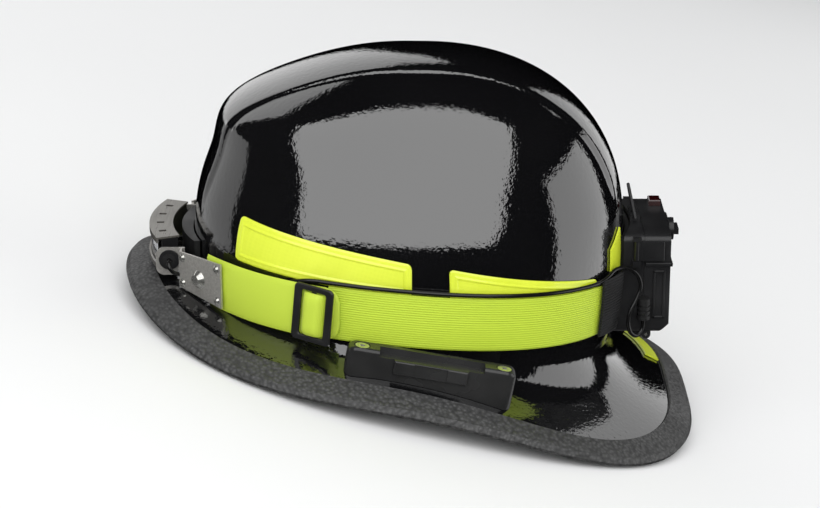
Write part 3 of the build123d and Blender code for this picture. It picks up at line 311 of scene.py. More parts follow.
def gloss_shell():
    """Lacquered black composite with a faint orange-peel surface."""
    material, tree, shader = new_material("gloss_black_shell")
    where = coordinates(tree)
    tint = noise(tree, where, 9.0, 2.0)
    tree.links.new(ramp(tree, tint, [(0.3, (0.0035, 0.0035, 0.004)), (0.7, (0.006, 0.006, 0.0065))]),
                   shader.inputs["Base Color"])
    haze = noise(tree, where, 30.0, 4.0)
    tree.links.new(ramp(tree, haze, [(0.3, 0.03), (0.75, 0.07)]), shader.inputs["Roughness"])
    settings(shader, Coat_Weight=1.0, Coat_Roughness=0.015, Coat_IOR=1.8, IOR=1.6)
    bump(tree, shader, noise(tree, where, 340.0, 2.5, 0.55), 0.00013, 1.0, coat=True)
    return material


def pebbled(name, dark, light, scale, depth, roughness=(0.5, 0.72)):
    """Moulded rubber or leathered edging: rounded grains, with painted shade that darkens the valleys
    between them.
    """
    material, tree, shader = new_material(name)
    where = coordinates(tree)
    cells = tree.nodes.new("ShaderNodeTexVoronoi")
    cells.feature = "SMOOTH_F1"
    cells.inputs["Scale"].default_value = scale
    cells.inputs["Smoothness"].default_value = 0.6
    tree.links.new(where, cells.inputs["Vector"])
    wear = noise(tree, where, 35.0, 4.0)
    grain = math_node(tree, "ADD", cells.outputs["Distance"], math_node(tree, "MULTIPLY", wear, 0.35))
    # Painted shade: the colour runs from light on the grains' raised middles to dark in the valleys between
    # them; the wear noise adds random tone.
    tree.links.new(ramp(tree, grain, [(0.15, light), (0.85, dark)]), shader.inputs["Base Color"])
    tree.links.new(ramp(tree, wear, [(0.3, roughness[0]), (0.7, roughness[1])]), shader.inputs["Roughness"])
    height = math_node(tree, "SUBTRACT", 1.0, grain)
    bump(tree, shader, height, depth)
    return material


def moulded(name, dark, light, roughness=(0.32, 0.48), grain=900.0, depth=0.00003, coat=0.0):
    """Injection-moulded plastic with a fine spark-eroded grain."""
    material, tree, shader = new_material(name)
    where = coordinates(tree)
    patch = noise(tree, where, 28.0, 3.0)
    tree.links.new(ramp(tree, patch, [(0.3, dark), (0.7, light)]), shader.inputs["Base Color"])
    polish = ramp(tree, patch, [(0.35, roughness[0]), (0.7, roughness[1])])
    tree.links.new(polish, shader.inputs["Roughness"])
    settings(shader, Coat_Weight=coat, Coat_Roughness=0.08)
    bump(tree, shader, noise(tree, where, grain, 2.0), depth)
    return material


def brushed(name, dark, light, roughness=(0.3, 0.42), metallic=0.6):
    """Rolled or brushed metal: its streaks run along x, the axis that is stretched least."""
    material, tree, shader = new_material(name)
    where = coordinates(tree)
    mapping = tree.nodes.new("ShaderNodeMapping")
    mapping.inputs["Scale"].default_value = (1.0, 14.0, 14.0)
    tree.links.new(where, mapping.inputs["Vector"])
    streak = noise(tree, mapping.outputs[0], 60.0, 5.0, 0.6)
    smudge = noise(tree, where, 40.0, 3.0)
    tree.links.new(ramp(tree, streak, [(0.3, dark), (0.7, light)]), shader.inputs["Base Color"])
    wear = math_node(tree, "ADD", math_node(tree, "MULTIPLY", streak, 0.6),
                     math_node(tree, "MULTIPLY", smudge, 0.4))
    polish = ramp(tree, wear, [(0.3, roughness[0]), (0.7, roughness[1])])
    tree.links.new(polish, shader.inputs["Roughness"])
    settings(shader, Metallic=metallic)
    bump(tree, shader, streak, 0.000004)
    return material


def woven(name, dark, light, weft_turns, warp_turns, depth, sheen, roughness=0.75, warp_share=0.45):
    """Webbing: warp lines along the strap and weft ribs over it, in turns per metre of the cloth map, with
    painted shade in the grooves between them.
    """
    material, tree, shader = new_material(name)
    split = tree.nodes.new("ShaderNodeSeparateXYZ")
    where = coordinates(tree, cloth=True)
    tree.links.new(where, split.inputs[0])

    def wave(value, per_metre):
        turns = math_node(tree, "MULTIPLY", value, per_metre * 2 * math.pi)
        return math_node(tree, "ADD", math_node(tree, "MULTIPLY", math_node(tree, "SINE", turns), 0.5), 0.5)

    weft = wave(split.outputs[0], weft_turns)
    warp = wave(split.outputs[1], warp_turns)
    fuzz = noise(tree, coordinates(tree), 1500.0, 2.0)
    height = math_node(tree, "ADD", math_node(tree, "MULTIPLY", weft, 0.9 - warp_share),
                       math_node(tree, "MULTIPLY", warp, warp_share))
    height = math_node(tree, "ADD", height, math_node(tree, "MULTIPLY", fuzz, 0.2))
    # Painted shade: the colour runs from dark in the grooves between the ribs to light on their crests; the
    # fuzz adds random tone.
    tree.links.new(ramp(tree, height, [(0.1, dark), (0.75, light)]), shader.inputs["Base Color"])
    settings(shader, Roughness=roughness, Sheen_Weight=sheen, Sheen_Roughness=0.4, Specular_IOR_Level=0.35)
    bump(tree, shader, height, depth)
    return material


def soft_cloth(name, dark, light):
    """Brushed cloth with a short pile."""
    material, tree, shader = new_material(name)
    where = coordinates(tree)
    pile = noise(tree, where, 700.0, 4.0, 0.7)
    drift = noise(tree, where, 25.0, 2.0)
    mixed = math_node(tree, "ADD", math_node(tree, "MULTIPLY", pile, 0.7),
                      math_node(tree, "MULTIPLY", drift, 0.3))
    tree.links.new(ramp(tree, mixed, [(0.35, dark), (0.65, light)]), shader.inputs["Base Color"])
    settings(shader, Roughness=0.9, Sheen_Weight=0.5, Sheen_Roughness=0.5, Specular_IOR_Level=0.2)
    bump(tree, shader, pile, 0.0002)
    return material


def prismatic(name):
    """Fluorescent retro-reflective plastic with small prism cells under a clear face, and a faint painted
    glow.
    """
    material, tree, shader = new_material(name)
    where = coordinates(tree)
    cells = tree.nodes.new("ShaderNodeTexVoronoi")
    cells.inputs["Scale"].default_value = 420.0
    cells.inputs["Randomness"].default_value = 0.25
    tree.links.new(where, cells.inputs["Vector"])
    drift = noise(tree, where, 18.0, 2.0)
    tone = math_node(tree, "ADD", math_node(tree, "MULTIPLY", cells.outputs["Distance"], 0.12),
                     math_node(tree, "MULTIPLY", drift, 0.88))
    tree.links.new(ramp(tree, tone, [(0.25, (0.56, 0.66, 0.02)), (0.7, (0.72, 0.80, 0.06))]),
                   shader.inputs["Base Color"])
    settings(shader, Roughness=0.35, Coat_Weight=0.7, Coat_Roughness=0.06)
    # Painted glow: a faint lime emission makes the panels give off light of their own, though they are no
    # lamp.
    settings(shader, Emission_Color=(0.62, 0.80, 0.0, 1), Emission_Strength=0.10)
    bump(tree, shader, cells.outputs["Distance"], 0.00002)
    return material


def clear_plastic(name):
    material, tree, shader = new_material(name)
    where = coordinates(tree)
    haze = noise(tree, where, 50.0, 3.0)
    tree.links.new(ramp(tree, haze, [(0.4, 0.01), (0.8, 0.05)]), shader.inputs["Roughness"])
    settings(shader, Base_Color=(0.97, 0.98, 1.0, 1), Transmission_Weight=1.0, IOR=1.46)
    return material


def grey(value):
    return (value, value, value)


MATERIALS = {
    "shell_black": gloss_shell(),
    "trim_rubber": pebbled("pebbled_trim", grey(0.035), grey(0.085), 430.0, 0.0007, (0.42, 0.6)),
    "lime_reflector": prismatic("lime_prismatic"),
    "black_plastic": moulded("black_moulding", (0.010, 0.010, 0.011), (0.02, 0.02, 0.021)),
    "bar_plastic": moulded("bar_moulding", grey(0.016), grey(0.030), (0.16, 0.3), 500.0, 0.00002),
    "foam": pebbled("liner_foam", (0.02, 0.02, 0.022), (0.055, 0.055, 0.06), 420.0, 0.0003, (0.8, 0.95)),
    "steel": brushed("brushed_stainless", (0.40, 0.385, 0.36), (0.58, 0.565, 0.53)),
    # Painted shade: the lamp's plates get a darker copy of the brushed stainless above.
    "lamp_steel": brushed("lamp_stainless_shaded", (0.15, 0.14, 0.128), (0.26, 0.25, 0.225), (0.25, 0.36)),
    "screw": brushed("screw_steel", (0.45, 0.45, 0.42), (0.8, 0.79, 0.74), (0.12, 0.22), metallic=0.85),
    "web_black": woven("black_webbing", grey(0.002), (0.014, 0.014, 0.015), 900.0, 560.0, 0.0003, 0.05,
                       warp_share=0.7),
    "web_lime": woven("lime_elastic", (0.40, 0.54, 0.02), (0.53, 0.69, 0.045), 1500.0, 720.0, 0.00025, 0.1,
                      0.5, 0.75),
    "web_lime_smooth": woven("lime_smooth", (0.46, 0.60, 0.035), (0.55, 0.70, 0.06), 1500.0, 1900.0, 0.00008,
                             0.1, 0.5),
    "pad_cloth": soft_cloth("brow_cloth", (0.02, 0.02, 0.022), (0.07, 0.07, 0.075)),
    "rubber": pebbled("black_rubber", grey(0.008), (0.022, 0.022, 0.023), 1500.0, 0.00005, (0.4, 0.6)),
    "clear": clear_plastic("clear_polycarbonate"),
    "chrome": brushed("vacuum_chrome", (0.78, 0.78, 0.80), (0.9, 0.9, 0.92), (0.05, 0.12), metallic=0.8),
    "cable": moulded("cable_jacket", grey(0.004), grey(0.008), (0.16, 0.26), 700.0, 0.00001),
    "board": moulded("white_board", (0.55, 0.56, 0.53), (0.75, 0.76, 0.72)),
    "led": moulded("led_phosphor", (0.75, 0.62, 0.12), (0.9, 0.8, 0.3)),
    "cell": moulded("cell_sleeve", (0.05, 0.055, 0.06), (0.09, 0.095, 0.1), (0.25, 0.35)),
    "red_lens": moulded("red_lens", (0.02, 0.002, 0.002), (0.035, 0.004, 0.004), (0.08, 0.14), coat=1.0),
}

FINISH = {
    "shell_black": ["outer_shell"],
    "trim_rubber": ["edge_trim"],
    "lime_reflector": ["reflectors_front", "reflectors_rear", "reflectors_tail"],
    "bar_plastic": ["side_bar_left", "side_bar_right"],
    "screw": ["bar_screws", "bar_nuts", "chin_bolts", "hinge_pins", "plate_rivets"],
    "steel": ["side_plate_left", "side_plate_right", "chin_brackets"],
    "lamp_steel": ["lamp_top_plate", "lamp_bottom_plate"],
    "foam": ["impact_liner", "suspension_blocks"],
    "black_plastic": ["headband", "ratchet_housing", "ratchet_pinion", "ratchet_knob", "rack_left",
                      "rack_right", "chin_buckle_socket", "chin_buckle_tongue", "slide_buckles",
                      "battery_backing", "battery_cover", "top_bail", "switch_knob", "case_latch_left",
                      "case_latch_right", "lamp_housing", "lamp_pivot_left", "lamp_pivot_right"],
    "rubber": ["lamp_gasket", "cable_grommet", "lamp_pad", "battery_pad", "battery_seal", "strain_relief"],
    "cable": ["lamp_cable"],
    "clear": ["lamp_lens"],
    "chrome": ["lamp_reflector"],
    "board": ["lamp_board"],
    "led": ["lamp_leds"],
    "cell": ["battery_inside"],
    "red_lens": ["tail_light"],
    "web_black": ["crown_straps", "chin_strap_left", "chin_strap_right", "web_loops"],
    "web_lime": ["strap_rear_left", "strap_rear_right"],
    "web_lime_smooth": ["strap_front_left", "strap_front_right"],
    "pad_cloth": ["brow_pad", "nape_pad"],
}
for slot, names in FINISH.items():
    for name in names:
        nodes[name].data.materials.clear()
        nodes[name].data.materials.append(MATERIALS[slot])
        nodes[name].data.shade_smooth()
        nodes[name].data.set_sharp_from_angle(angle=math.radians(32))


def stand_in(thing, finish, slot, *replaced, body="helmet"):
    """Finishes a piece that is shown in place of CAD nodes."""
    thing.data.materials.append(MATERIALS[finish])
    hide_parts(*replaced)
    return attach(thing, body)


# ------------------------------------------------------------------ shell
def make_shell():
    """The crown and brim as one skin; its first ring leaves a pinhole at the very top."""
    turns = np.linspace(0, 2 * math.pi, 600, endpoint=False)[None, :]
    levels = np.concatenate([np.linspace(0.0015, 1.0, 190), 1 + np.linspace(0, 1, 81)[1:]])[:, None]
    surface = on_shell(turns, levels)
    normal = shell_normal(turns, levels)
    relief = ridge(surface)[..., None]
    return slab("shell", surface + normal * relief, surface - normal * SHELL_THICKNESS, wrap=True)


stand_in(make_shell(), "shell_black", "shell_black", "outer_shell")


# ------------------------------------------------------------------ straps
REAR_STRAP, FRONT_STRAP, CASE_TIE = (-25.0, 63.5), (-62.5, -21.0), (60.5, 71.0)    # bearings, in degrees
BUCKLE_BEARING, BUCKLE_HALF_SIZE, BUCKLE_WINDOW = -27.8, (13.0, 17.5), (8.2, 14.0)
BUCKLE_BACK, BUCKLE_FRONT = 8.8, 11.2                  # distances of its two faces from the wall
LOOP_HALF_LENGTH = 8.0
REAR_STRAP_LIFT, FRONT_STRAP_LIFT, TIE_LIFT = 1.8, 4.8, 4.9
MM_PER_DEGREE = 1.9                                    # length along the crown wall


def wall_strip(name, span, low, high, inside, thickness, shape, pitch=0.9, rows=17, sign=1):
    """A strap along the crown wall over a span of bearings.  low and high are functions of the bearing, and
    so is inside, its inner face's distance from the wall.  shape(s, w) is an extra height over the strap,
    with s its length in millimetres and w from -1 to 1 across."""
    start, end = span
    steps = max(8, int(abs(end - start) * MM_PER_DEGREE / pitch))
    phi = np.radians(np.linspace(start, end, steps))[None, :]
    w = np.linspace(-1, 1, rows)[:, None]
    z = (low(phi) + high(phi)) / 2 + w * (high(phi) - low(phi)) / 2
    wall = wall_at(phi, z)
    path = at_bearing(phi, wall_at(phi, strap_mid(phi)), strap_mid(phi))[0]
    s = np.concatenate([[0], np.cumsum(np.linalg.norm(np.diff(path, axis=0), axis=1))])[None, :]
    edge = 0.42 * thickness * np.clip((np.abs(w) - 0.9) / 0.1, 0, 1) ** 2
    inner = at_bearing(phi, wall + inside(phi) + edge, z)
    outer = at_bearing(phi, wall + inside(phi) + thickness - edge + shape(s, w), z)
    if sign < 0:
        inner, outer = flipped(inner), flipped(outer)
    return slab(name, outer, inner, along=s, across=w * (high(phi) - low(phi)) / 2)


def strap_edge(side):
    return lambda phi: strap_mid(phi) + side * STRAP_WIDTH / 2


def strap_low(phi):
    return np.maximum(strap_edge(-1)(phi), foot_height(phi) - 1.0)


def rounded_half_width(phi):
    """Half the front strap's width: its two edges draw together at the free rear end."""
    to_end = (np.degrees(phi) - FRONT_STRAP[1]) * 1.85
    t = np.clip((to_end + 9.0) / 9.0, 0, 1)
    return STRAP_WIDTH / 2 * (1 - (1 - np.sqrt(1 - np.clip(t, 0, 0.999) ** 2)) * 0.55)


def front_strap_lift(phi):
    """Distance from the wall, growing towards the side plate."""
    return FRONT_STRAP_LIFT + np.maximum(0.0, -55 - np.degrees(phi)) * 0.12


def make_straps():
    for side, sign in (("left", 1), ("right", -1)):
        rear = wall_strip(
            f"rear_strap_{side}", REAR_STRAP, strap_low, strap_edge(1), lambda phi: REAR_STRAP_LIFT,
            STRAP_THICKNESS,
            shape=lambda s, w: 0.05 * np.cos(w * math.pi * 22) + 0.12 * (1 - w**2) * np.sin(s / 31),
            rows=89, sign=sign,
        )
        stand_in(rear, "web_lime", "web_lime", f"strap_rear_{side}")

        front = wall_strip(
            f"front_strap_{side}", FRONT_STRAP, lambda phi: strap_mid(phi) - rounded_half_width(phi),
            lambda phi: strap_mid(phi) + rounded_half_width(phi), front_strap_lift, STRAP_THICKNESS,
            shape=lambda s, w: 0.25 * (1 - w**2), sign=sign,
        )
        stand_in(front, "web_lime_smooth", "web_lime", f"strap_front_{side}")
        make_buckle(f"buckle_frame_{side}", sign)
        stand_in(make_loop(f"buckle_loop_{side}", sign), "web_lime_smooth", "web_lime")
        tie = make_tie(f"case_tie_{side}", sign)
        stand_in(tie, "web_black", "web_black", *(["web_loops"] if sign > 0 else []))


def buckle_axes():
    """The slide buckle's place on the crown wall and its outward, lengthwise and upward directions."""
    bearing = math.radians(BUCKLE_BEARING)
    z0 = float(strap_mid(bearing))
    r0 = float(wall_at(bearing, z0))
    out = np.array([math.cos(bearing), math.sin(bearing), 0.03])
    out = out / np.linalg.norm(out)
    along = np.array([-math.sin(bearing), math.cos(bearing), -0.09])
    along = along - out * (along @ out)
    along = along / np.linalg.norm(along)
    up = np.cross(out, along)
    centre = np.array([r0 * math.cos(bearing), r0 * math.sin(bearing), z0])
    return centre, out, along, up


def rounded_outline(half_x, half_y, radius, per_corner=9):
    """Points round a rectangle with rounded corners, the same count for each corner."""
    points = []
    for quarter, (sign_x, sign_y) in enumerate(((1, 1), (-1, 1), (-1, -1), (1, -1))):
        for angle in np.radians(quarter * 90 + np.linspace(0, 90, per_corner)):
            points.append((sign_x * (half_x - radius) + radius * math.cos(angle),
                           sign_y * (half_y - radius) + radius * math.sin(angle)))
    return np.array(points)


def make_buckle(name, sign):
    """The slide buckle's moulded frame, with soft edges and flat side bars."""
    centre, out, along, up = buckle_axes()
    outside, window = rounded_outline(*BUCKLE_HALF_SIZE, 3.0), rounded_outline(*BUCKLE_WINDOW, 1.6)
    share = np.linspace(0, 1, 13)[:, None, None]
    plan = window + (outside - window) * share
    edge = 0.7 * np.abs(2 * share - 1) ** 6

    def place(height):
        points = centre + out * height + along * plan[..., :1] + up * plan[..., 1:]
        return points if sign > 0 else flipped(points)

    frame_ring = slab(name, place(BUCKLE_FRONT - edge), place(BUCKLE_BACK + edge), wrap=True)
    stand_in(frame_ring, "black_plastic", "black_plastic", *(["slide_buckles"] if sign > 0 else []))
    x, y = np.linspace(-1.5, 1.5, 9)[:, None], np.linspace(-14.2, 14.2, 30)[None, :]
    plan = np.stack(np.broadcast_arrays(x, y), -1)
    edge = 0.6 * np.abs(x / 1.5)[..., None] ** 4
    bar = slab(f"{name}_bar", place(10.9 - edge), place(9.0 + edge))
    stand_in(bar, "black_plastic", "black_plastic")


def make_loop(name, sign):
    """The strap's fold through the slide buckle and over its centre bar."""
    centre, out, along, up = buckle_axes()
    s = np.linspace(-LOOP_HALF_LENGTH, LOOP_HALF_LENGTH, 41)[None, :]
    w = np.linspace(-1, 1, 25)[:, None]
    swell = 1 - np.abs(s / LOOP_HALF_LENGTH) ** 3.2
    edge = np.clip(1 - w**8, 0, 1)
    top = 7.2 + swell * 6.4 * (0.72 + 0.28 * edge) + 0.5 * edge
    bottom = np.minimum(top - 0.9, 6.9 + swell * 4.6)
    half = 13.3 - 0.8 * (1 - swell)

    def place(height):
        height = np.broadcast_to(height, (25, 41))[..., None]
        return centre + out * height + along * (s + 0 * w)[..., None] + up * (w * half)[..., None]

    outer, inner = place(top), place(bottom)
    if sign < 0:
        outer, inner = flipped(outer), flipped(inner)
    return slab(name, outer, inner, along=s, across=w * half)


def make_tie(name, sign):
    """Ribbed webbing that ties the rear strap to the battery case."""
    def low(phi):
        return -0.5 - (np.degrees(phi) - 60) * 0.3

    return wall_strip(
        name, CASE_TIE, low, lambda phi: 35.5, lambda phi: TIE_LIFT, thickness=1.6,
        shape=lambda s, w: 0.22 * np.sin(w * 62) * (1 - w**10), pitch=0.8, rows=161, sign=sign,
    )


make_straps()


CORNER, BORDER = 3.0, 4.0                              # a panel's corner radius and its border line's inset


def make_reflector(name, start, end, sign):
    """A moulded reflective panel with rounded corners, a raised border line and a slightly sunk field.
    start and end give its bearing and its lower and upper height at each end."""
    phi = np.radians(np.linspace(start[0], end[0], 240))[None, :]
    w = np.linspace(-1, 1, 71)[:, None]
    share = (phi - phi[0, 0]) / (phi[0, -1] - phi[0, 0])
    low = start[1] + (end[1] - start[1]) * share
    high = start[2] + (end[2] - start[2]) * share
    mid, half = (low + high) / 2, (high - low) / 2
    path = at_bearing(phi, wall_at(phi, mid), mid)[0]
    s = np.concatenate([[0], np.cumsum(np.linalg.norm(np.diff(path, axis=0), axis=1))])[None, :]
    to_end = np.minimum(s, s.max() - s)
    turn = np.clip(1 - to_end / CORNER, 0, 1)
    half = half - CORNER * (1 - np.sqrt(1 - turn**2))
    z = mid + w * half
    rim = np.minimum(to_end, (1 - np.abs(w)) * half)
    border_line = 0.4 * np.exp(-(((rim - BORDER) / 0.7) ** 2))
    height = 1.0 + border_line - 0.3 * smooth(4.4, 5.2, rim) - 0.6 * (1 - smooth(0, 0.9, rim))
    base = wall_at(phi, z) + 0.45 - RIDGE_SINK * smooth(*RELIEF_FADE, z)
    outer, inner = at_bearing(phi, base + height, z), at_bearing(phi, base, z)
    if sign < 0:
        outer, inner = flipped(outer), flipped(inner)
    return slab(name, outer, inner, along=s, across=w * half)


for side, sign in (("left", 1), ("right", -1)):
    for where, start, end in (
        ("front", (-55.0, 52.8, 79.3), (0.6, 39.5, 59.1)),
        ("rear", (12.8, 36.5, 56.1), (60.6, 12.0, 36.6)),
    ):
        panel = make_reflector(f"reflector_{where}_{side}", start, end, sign)
        stand_in(panel, "lime_reflector", "lime_reflector", *([f"reflectors_{where}"] if sign > 0 else []))


# ------------------------------------------------------------------ headgear cloth and pads
def headband_height(phi):
    return 10.0 - 0.24 * head_radius(phi) * np.sin(phi)


def pillow(w, t):
    """1 in the middle of a patch and 0 at its border, with w and t from -1 to 1."""
    return (np.clip(1 - np.abs(w) ** 4.0, 0, 1) * np.clip(1 - np.abs(t) ** 12.0, 0, 1)) ** 0.5


def make_brow_pad():
    """A padded strip inside the headband's front, with ten quilted cells."""
    phi = np.radians(np.linspace(-145, -35, 220))[None, :]
    t = np.linspace(-1, 1, 220)[None, :]
    w = np.linspace(-1, 1, 25)[:, None]
    z = headband_height(phi) - 8.5 + 9.5 * w
    full = pillow(w, t)
    channel = 1 - 0.35 * np.exp(-((np.mod((t + 1) * 5, 1) - 0.5) / 0.05) ** 2)
    outer = at_bearing(phi, head_radius(phi) - 4.7 - 0.6 * (1 - full), z)
    inner = at_bearing(phi, head_radius(phi) - 6.4 - 3.5 * full * channel, z)
    pad = slab("brow_cushion", outer, inner, along=np.degrees(phi) * 1.6, across=w * 9.5)
    stand_in(pad, "pad_cloth", "pad_cloth", "brow_pad")


def make_nape_pad():
    """A padded patch over the ratchet housing's inner face, with three quilted rows."""
    rail, half_height = 78.0, 16.8
    angle = np.radians(90 + np.linspace(-22, 22, 90))[None, :]
    t = np.linspace(-1, 1, 90)[None, :]
    w = np.linspace(-1, 1, 41)[:, None]
    full = pillow(w, t)
    channel = 1 - 0.4 * np.exp(-((np.mod((w + 1) * 1.5, 1) - 0.5) / 0.08) ** 2)

    def place(r):
        points = at_bearing(angle, r, -10.0 + half_height * w)
        return points + np.array([0, 16.0, 0])

    outer, inner = place(rail - 3.9 - 0.8 * (1 - full)), place(rail - 5.6 - 5.2 * full * channel)
    pad = slab("nape_cushion", outer, inner, along=angle * rail, across=w * half_height)
    stand_in(pad, "pad_cloth", "pad_cloth", "nape_pad")


def make_crown_straps():
    """Three straps that cross over the head, each a little lower than the one over it."""
    half_width = 9.4
    for number, (bearing, drop) in enumerate(((0, 0.0), (60, 3.0), (120, 6.0))):
        side = math.radians(bearing)
        turn = np.linspace(0.02, math.pi - 0.02, 150)
        facing = np.where(turn < math.pi / 2, side, side + math.pi)
        foot = headband_height(facing) + 2
        across = np.array([-math.sin(side), math.cos(side), 0])

        def arch(inward):
            r = (head_radius(facing) - 4.0 - inward) * np.abs(np.cos(turn))
            z = foot + (114.0 - drop - inward - foot) * np.sin(turn)
            return np.stack([r * np.cos(facing), r * np.sin(facing), z], -1)

        w = np.linspace(-1, 1, 15)[:, None, None]
        edge = 0.25 * np.abs(np.linspace(-1, 1, 15)) ** 8
        outer = np.stack([arch(float(e) + 0.03) for e in edge]) + across * w * half_width
        inner = np.stack([arch(1.07 - float(e)) for e in edge]) + across * w * half_width
        s = np.concatenate([[0], np.cumsum(np.linalg.norm(np.diff(arch(0.5), axis=0), axis=1))])[None, :]
        strap = slab(f"crown_strap_{number}", outer, inner, along=s, across=w[..., 0] * half_width)
        stand_in(strap, "web_black", "web_black", *(["crown_straps"] if number == 0 else []))


def make_chin_straps():
    """The chin strap's two halves, stowed round the inside of the rear brim."""
    half_width = 9.9
    for name, start, end, sign in (("left", 10, 66, 1), ("right", 10, 75.8, -1)):
        phi = np.radians(np.linspace(start, end, 130))[None, :]
        w = np.linspace(-1, 1, 17)[:, None]
        turn = np.clip(np.abs(np.sin(phi)) / 0.9, 0, 1)
        r = 93.0 + 18.8 * turn
        z = -9.0 - 15.0 * turn + half_width * w
        edge = 0.3 * np.abs(w) ** 8
        outer, inner = at_bearing(phi, r + 1.36 - edge, z), at_bearing(phi, r + 0.04 + edge, z)
        if sign < 0:
            outer, inner = flipped(outer), flipped(inner)
        strap = slab(f"chin_web_{name}", outer, inner, along=phi * 105, across=w * half_width)
        stand_in(strap, "web_black", "web_black", f"chin_strap_{name}")


make_brow_pad()
make_nape_pad()
make_crown_straps()
make_chin_straps()


# ------------------------------------------------------------------ raised mouldings on the battery cover
def moulding(name, ranges, bevel):
    """One mesh of rounded bars, each given by its x, y and z range."""
    work = bmesh.new()
    for bounds in ranges:
        size = [high - low for low, high in bounds]
        middle = [(low + high) / 2 for low, high in bounds]
        made = bmesh.ops.create_cube(work, size=1.0)["verts"]
        bmesh.ops.scale(work, vec=size, verts=made)
        bmesh.ops.translate(work, vec=middle, verts=made)
        edges = list({edge for vertex in made for edge in vertex.link_edges})
        bmesh.ops.bevel(work, geom=edges, offset=bevel, segments=3, profile=0.5, affect="EDGES")
    work.verts.index_update()
    points = [tuple(vertex.co) for vertex in work.verts]
    faces = [[vertex.index for vertex in face.verts] for face in work.faces]
    work.free()
    return make_object(name, points, faces)


def make_case_mouldings():
    """A belt round the cover below its clips, a framed panel on each side and two ribs down the back."""
    belt, panel_y, panel_z, line = (35.6, 38.0), (148.6, 156.1), (2.0, 33.0), 1.5
    bars = [((-39.2, 39.2), (158.9, 160.3), belt)]
    for sign in (1, -1):
        side_face = tuple(sorted((sign * 37.9, sign * 39.2)))
        bars.append((side_face, (143.6, 160.3), belt))
        for y in (panel_y[0], panel_y[1] - line):
            bars.append((side_face, (y, y + line), panel_z))
        for z in (panel_z[0], panel_z[1] - line):
            bars.append((side_face, panel_y, (z, z + line)))
        bars.append((tuple(sorted((sign * 22.0, sign * 25.0))), (158.9, 160.2), (2.0, 34.0)))
    case = moulding("case_mouldings", bars, 0.4)
    stand_in(case, "black_plastic", "black_plastic", body="case_cover")


make_case_mouldings()


# ------------------------------------------------------------------ camera, floor and light
def design_camera():
    """The main view: from the wearer's left, 19.5 degrees above, with the crown upright in the frame."""
    tilt = math.radians(19.5)
    away = Vector((math.cos(tilt), 0, math.sin(tilt)))
    turn = REST.to_3x3()
    right, back = turn @ Vector((0, 1, 0)), turn @ away
    up = turn @ Vector((-math.sin(tilt), 0, math.cos(tilt)))
    data = bpy.data.cameras.new("camera")
    data.lens, data.sensor_width, data.clip_end = 112.4, 36.0, 100.0
    camera = bpy.data.objects.new("camera", data)
    scene.collection.objects.link(camera)
    place = Matrix((right, up, back)).transposed().to_4x4()
    place.translation = REST @ ((away * 1600 + Vector((0, 0, 30))) / 1000)
    camera.matrix_world = place
    scene.camera = camera


SOFTBOX_DISTANCE, SOFTBOX_AIM = 1.5, (0, 0, 0.09)


def softbox(name, direction, across, size, radiance):
    """A rectangular area light seen from the helmet along direction, with its width lying along across and
    its size given at a distance of one metre."""
    back = Vector(direction).normalized()
    right = Vector(across)
    right = (right - back * right.dot(back)).normalized()
    up = back.cross(right)
    data = bpy.data.lights.new(name, "AREA")
    data.shape = "RECTANGLE"
    data.size, data.size_y = size[0] * SOFTBOX_DISTANCE, size[1] * SOFTBOX_DISTANCE
    data.energy = radiance * math.pi * data.size * data.size_y
    light = bpy.data.objects.new(name, data)
    scene.collection.objects.link(light)
    place = Matrix((right, up, back)).transposed().to_4x4()
    place.translation = Vector(SOFTBOX_AIM) + back * SOFTBOX_DISTANCE
    light.matrix_world = place


FLOOR_HALF, FLOOR_GAP = 12.0, 0.0005


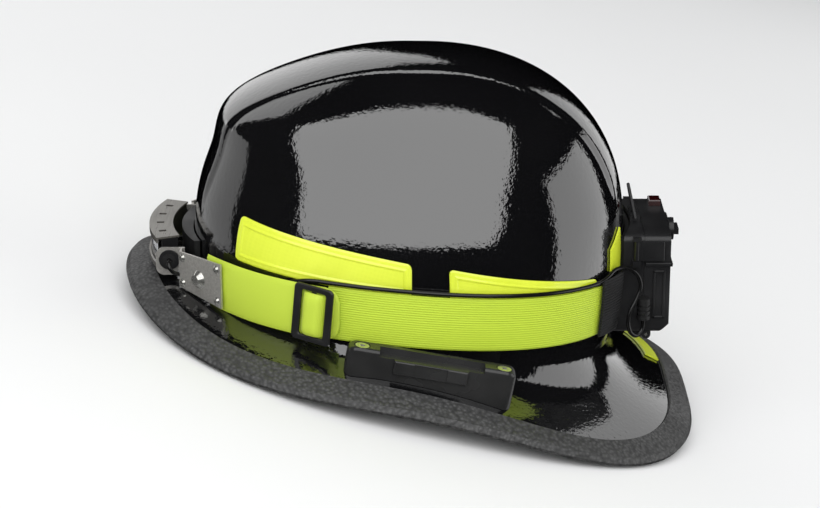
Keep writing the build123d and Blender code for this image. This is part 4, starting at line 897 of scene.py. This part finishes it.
def make_floor():
    """A pale floor just under the helmet, which glossy rays pass so that the shell stays black."""
    mesh = bpy.data.meshes.new("floor")
    corners = [(x * FLOOR_HALF, y * FLOOR_HALF, -FLOOR_GAP) for x, y in ((-1, -1), (1, -1), (1, 1), (-1, 1))]
    mesh.from_pydata(corners, [], [(0, 1, 2, 3)])
    floor = bpy.data.objects.new("floor", mesh)
    scene.collection.objects.link(floor)
    material, tree, shader = new_material("pale_floor")
    drift = noise(tree, coordinates(tree), 1.5, 2.0)
    tree.links.new(ramp(tree, drift, [(0.3, 0.85), (0.7, 0.87)]), shader.inputs["Base Color"])
    settings(shader, Roughness=0.9, Specular_IOR_Level=0.1)
    mesh.materials.append(material)
    floor.visible_glossy = False


def make_backdrop():
    """A pale dome that only the camera sees, so that the floor meets no dark horizon in low views."""
    ball = bmesh.new()
    bmesh.ops.create_uvsphere(ball, u_segments=64, v_segments=32, radius=11.5)
    mesh = bpy.data.meshes.new("backdrop")
    ball.to_mesh(mesh)
    ball.free()
    mesh.shade_smooth()
    dome = bpy.data.objects.new("backdrop", mesh)
    scene.collection.objects.link(dome)
    material = bpy.data.materials.new("pale_backdrop")
    material.use_nodes = True
    tree = material.node_tree
    tree.nodes.clear()
    glow = tree.nodes.new("ShaderNodeEmission")
    glow.inputs[0].default_value = (0.92, 0.93, 0.94, 1)
    tree.links.new(glow.outputs[0], tree.nodes.new("ShaderNodeOutputMaterial").inputs[0])
    mesh.materials.append(material)
    dome.visible_glossy = dome.visible_diffuse = dome.visible_shadow = dome.visible_transmission = False


def make_world():
    """A dim even sky that lights matt surfaces and is not reflected."""
    world = bpy.data.worlds.new("studio")
    world.use_nodes = True
    background = world.node_tree.nodes["Background"]
    background.inputs[0].default_value = (0.93, 0.94, 0.95, 1)
    background.inputs[1].default_value = 0.5
    scene.world = world
    world.cycles_visibility.glossy = False


design_camera()
make_floor()
make_backdrop()
make_world()
softbox("key_overhead", (0.70, -0.22, 0.68), (0.126, 0.974, 0.18), (1.42, 1.45), 1.8)
softbox("front_far", (-0.74, -0.56, 0.36), (-0.60, 0.80, 0.0), (0.95, 0.95), 0.9)
softbox("front_low", (-0.35, -0.90, -0.22), (-0.93, 0.36, 0.0), (0.8, 0.5), 0.5)
softbox("rear_side", (0.03, 0.96, 0.27), (1.0, 0.0, 0.0), (1.05, 0.85), 1.2)
softbox("rear_far", (-0.74, 0.55, 0.36), (-0.6, -0.8, 0.0), (0.30, 0.9), 0.9)
scene.view_settings.view_transform = "Standard"
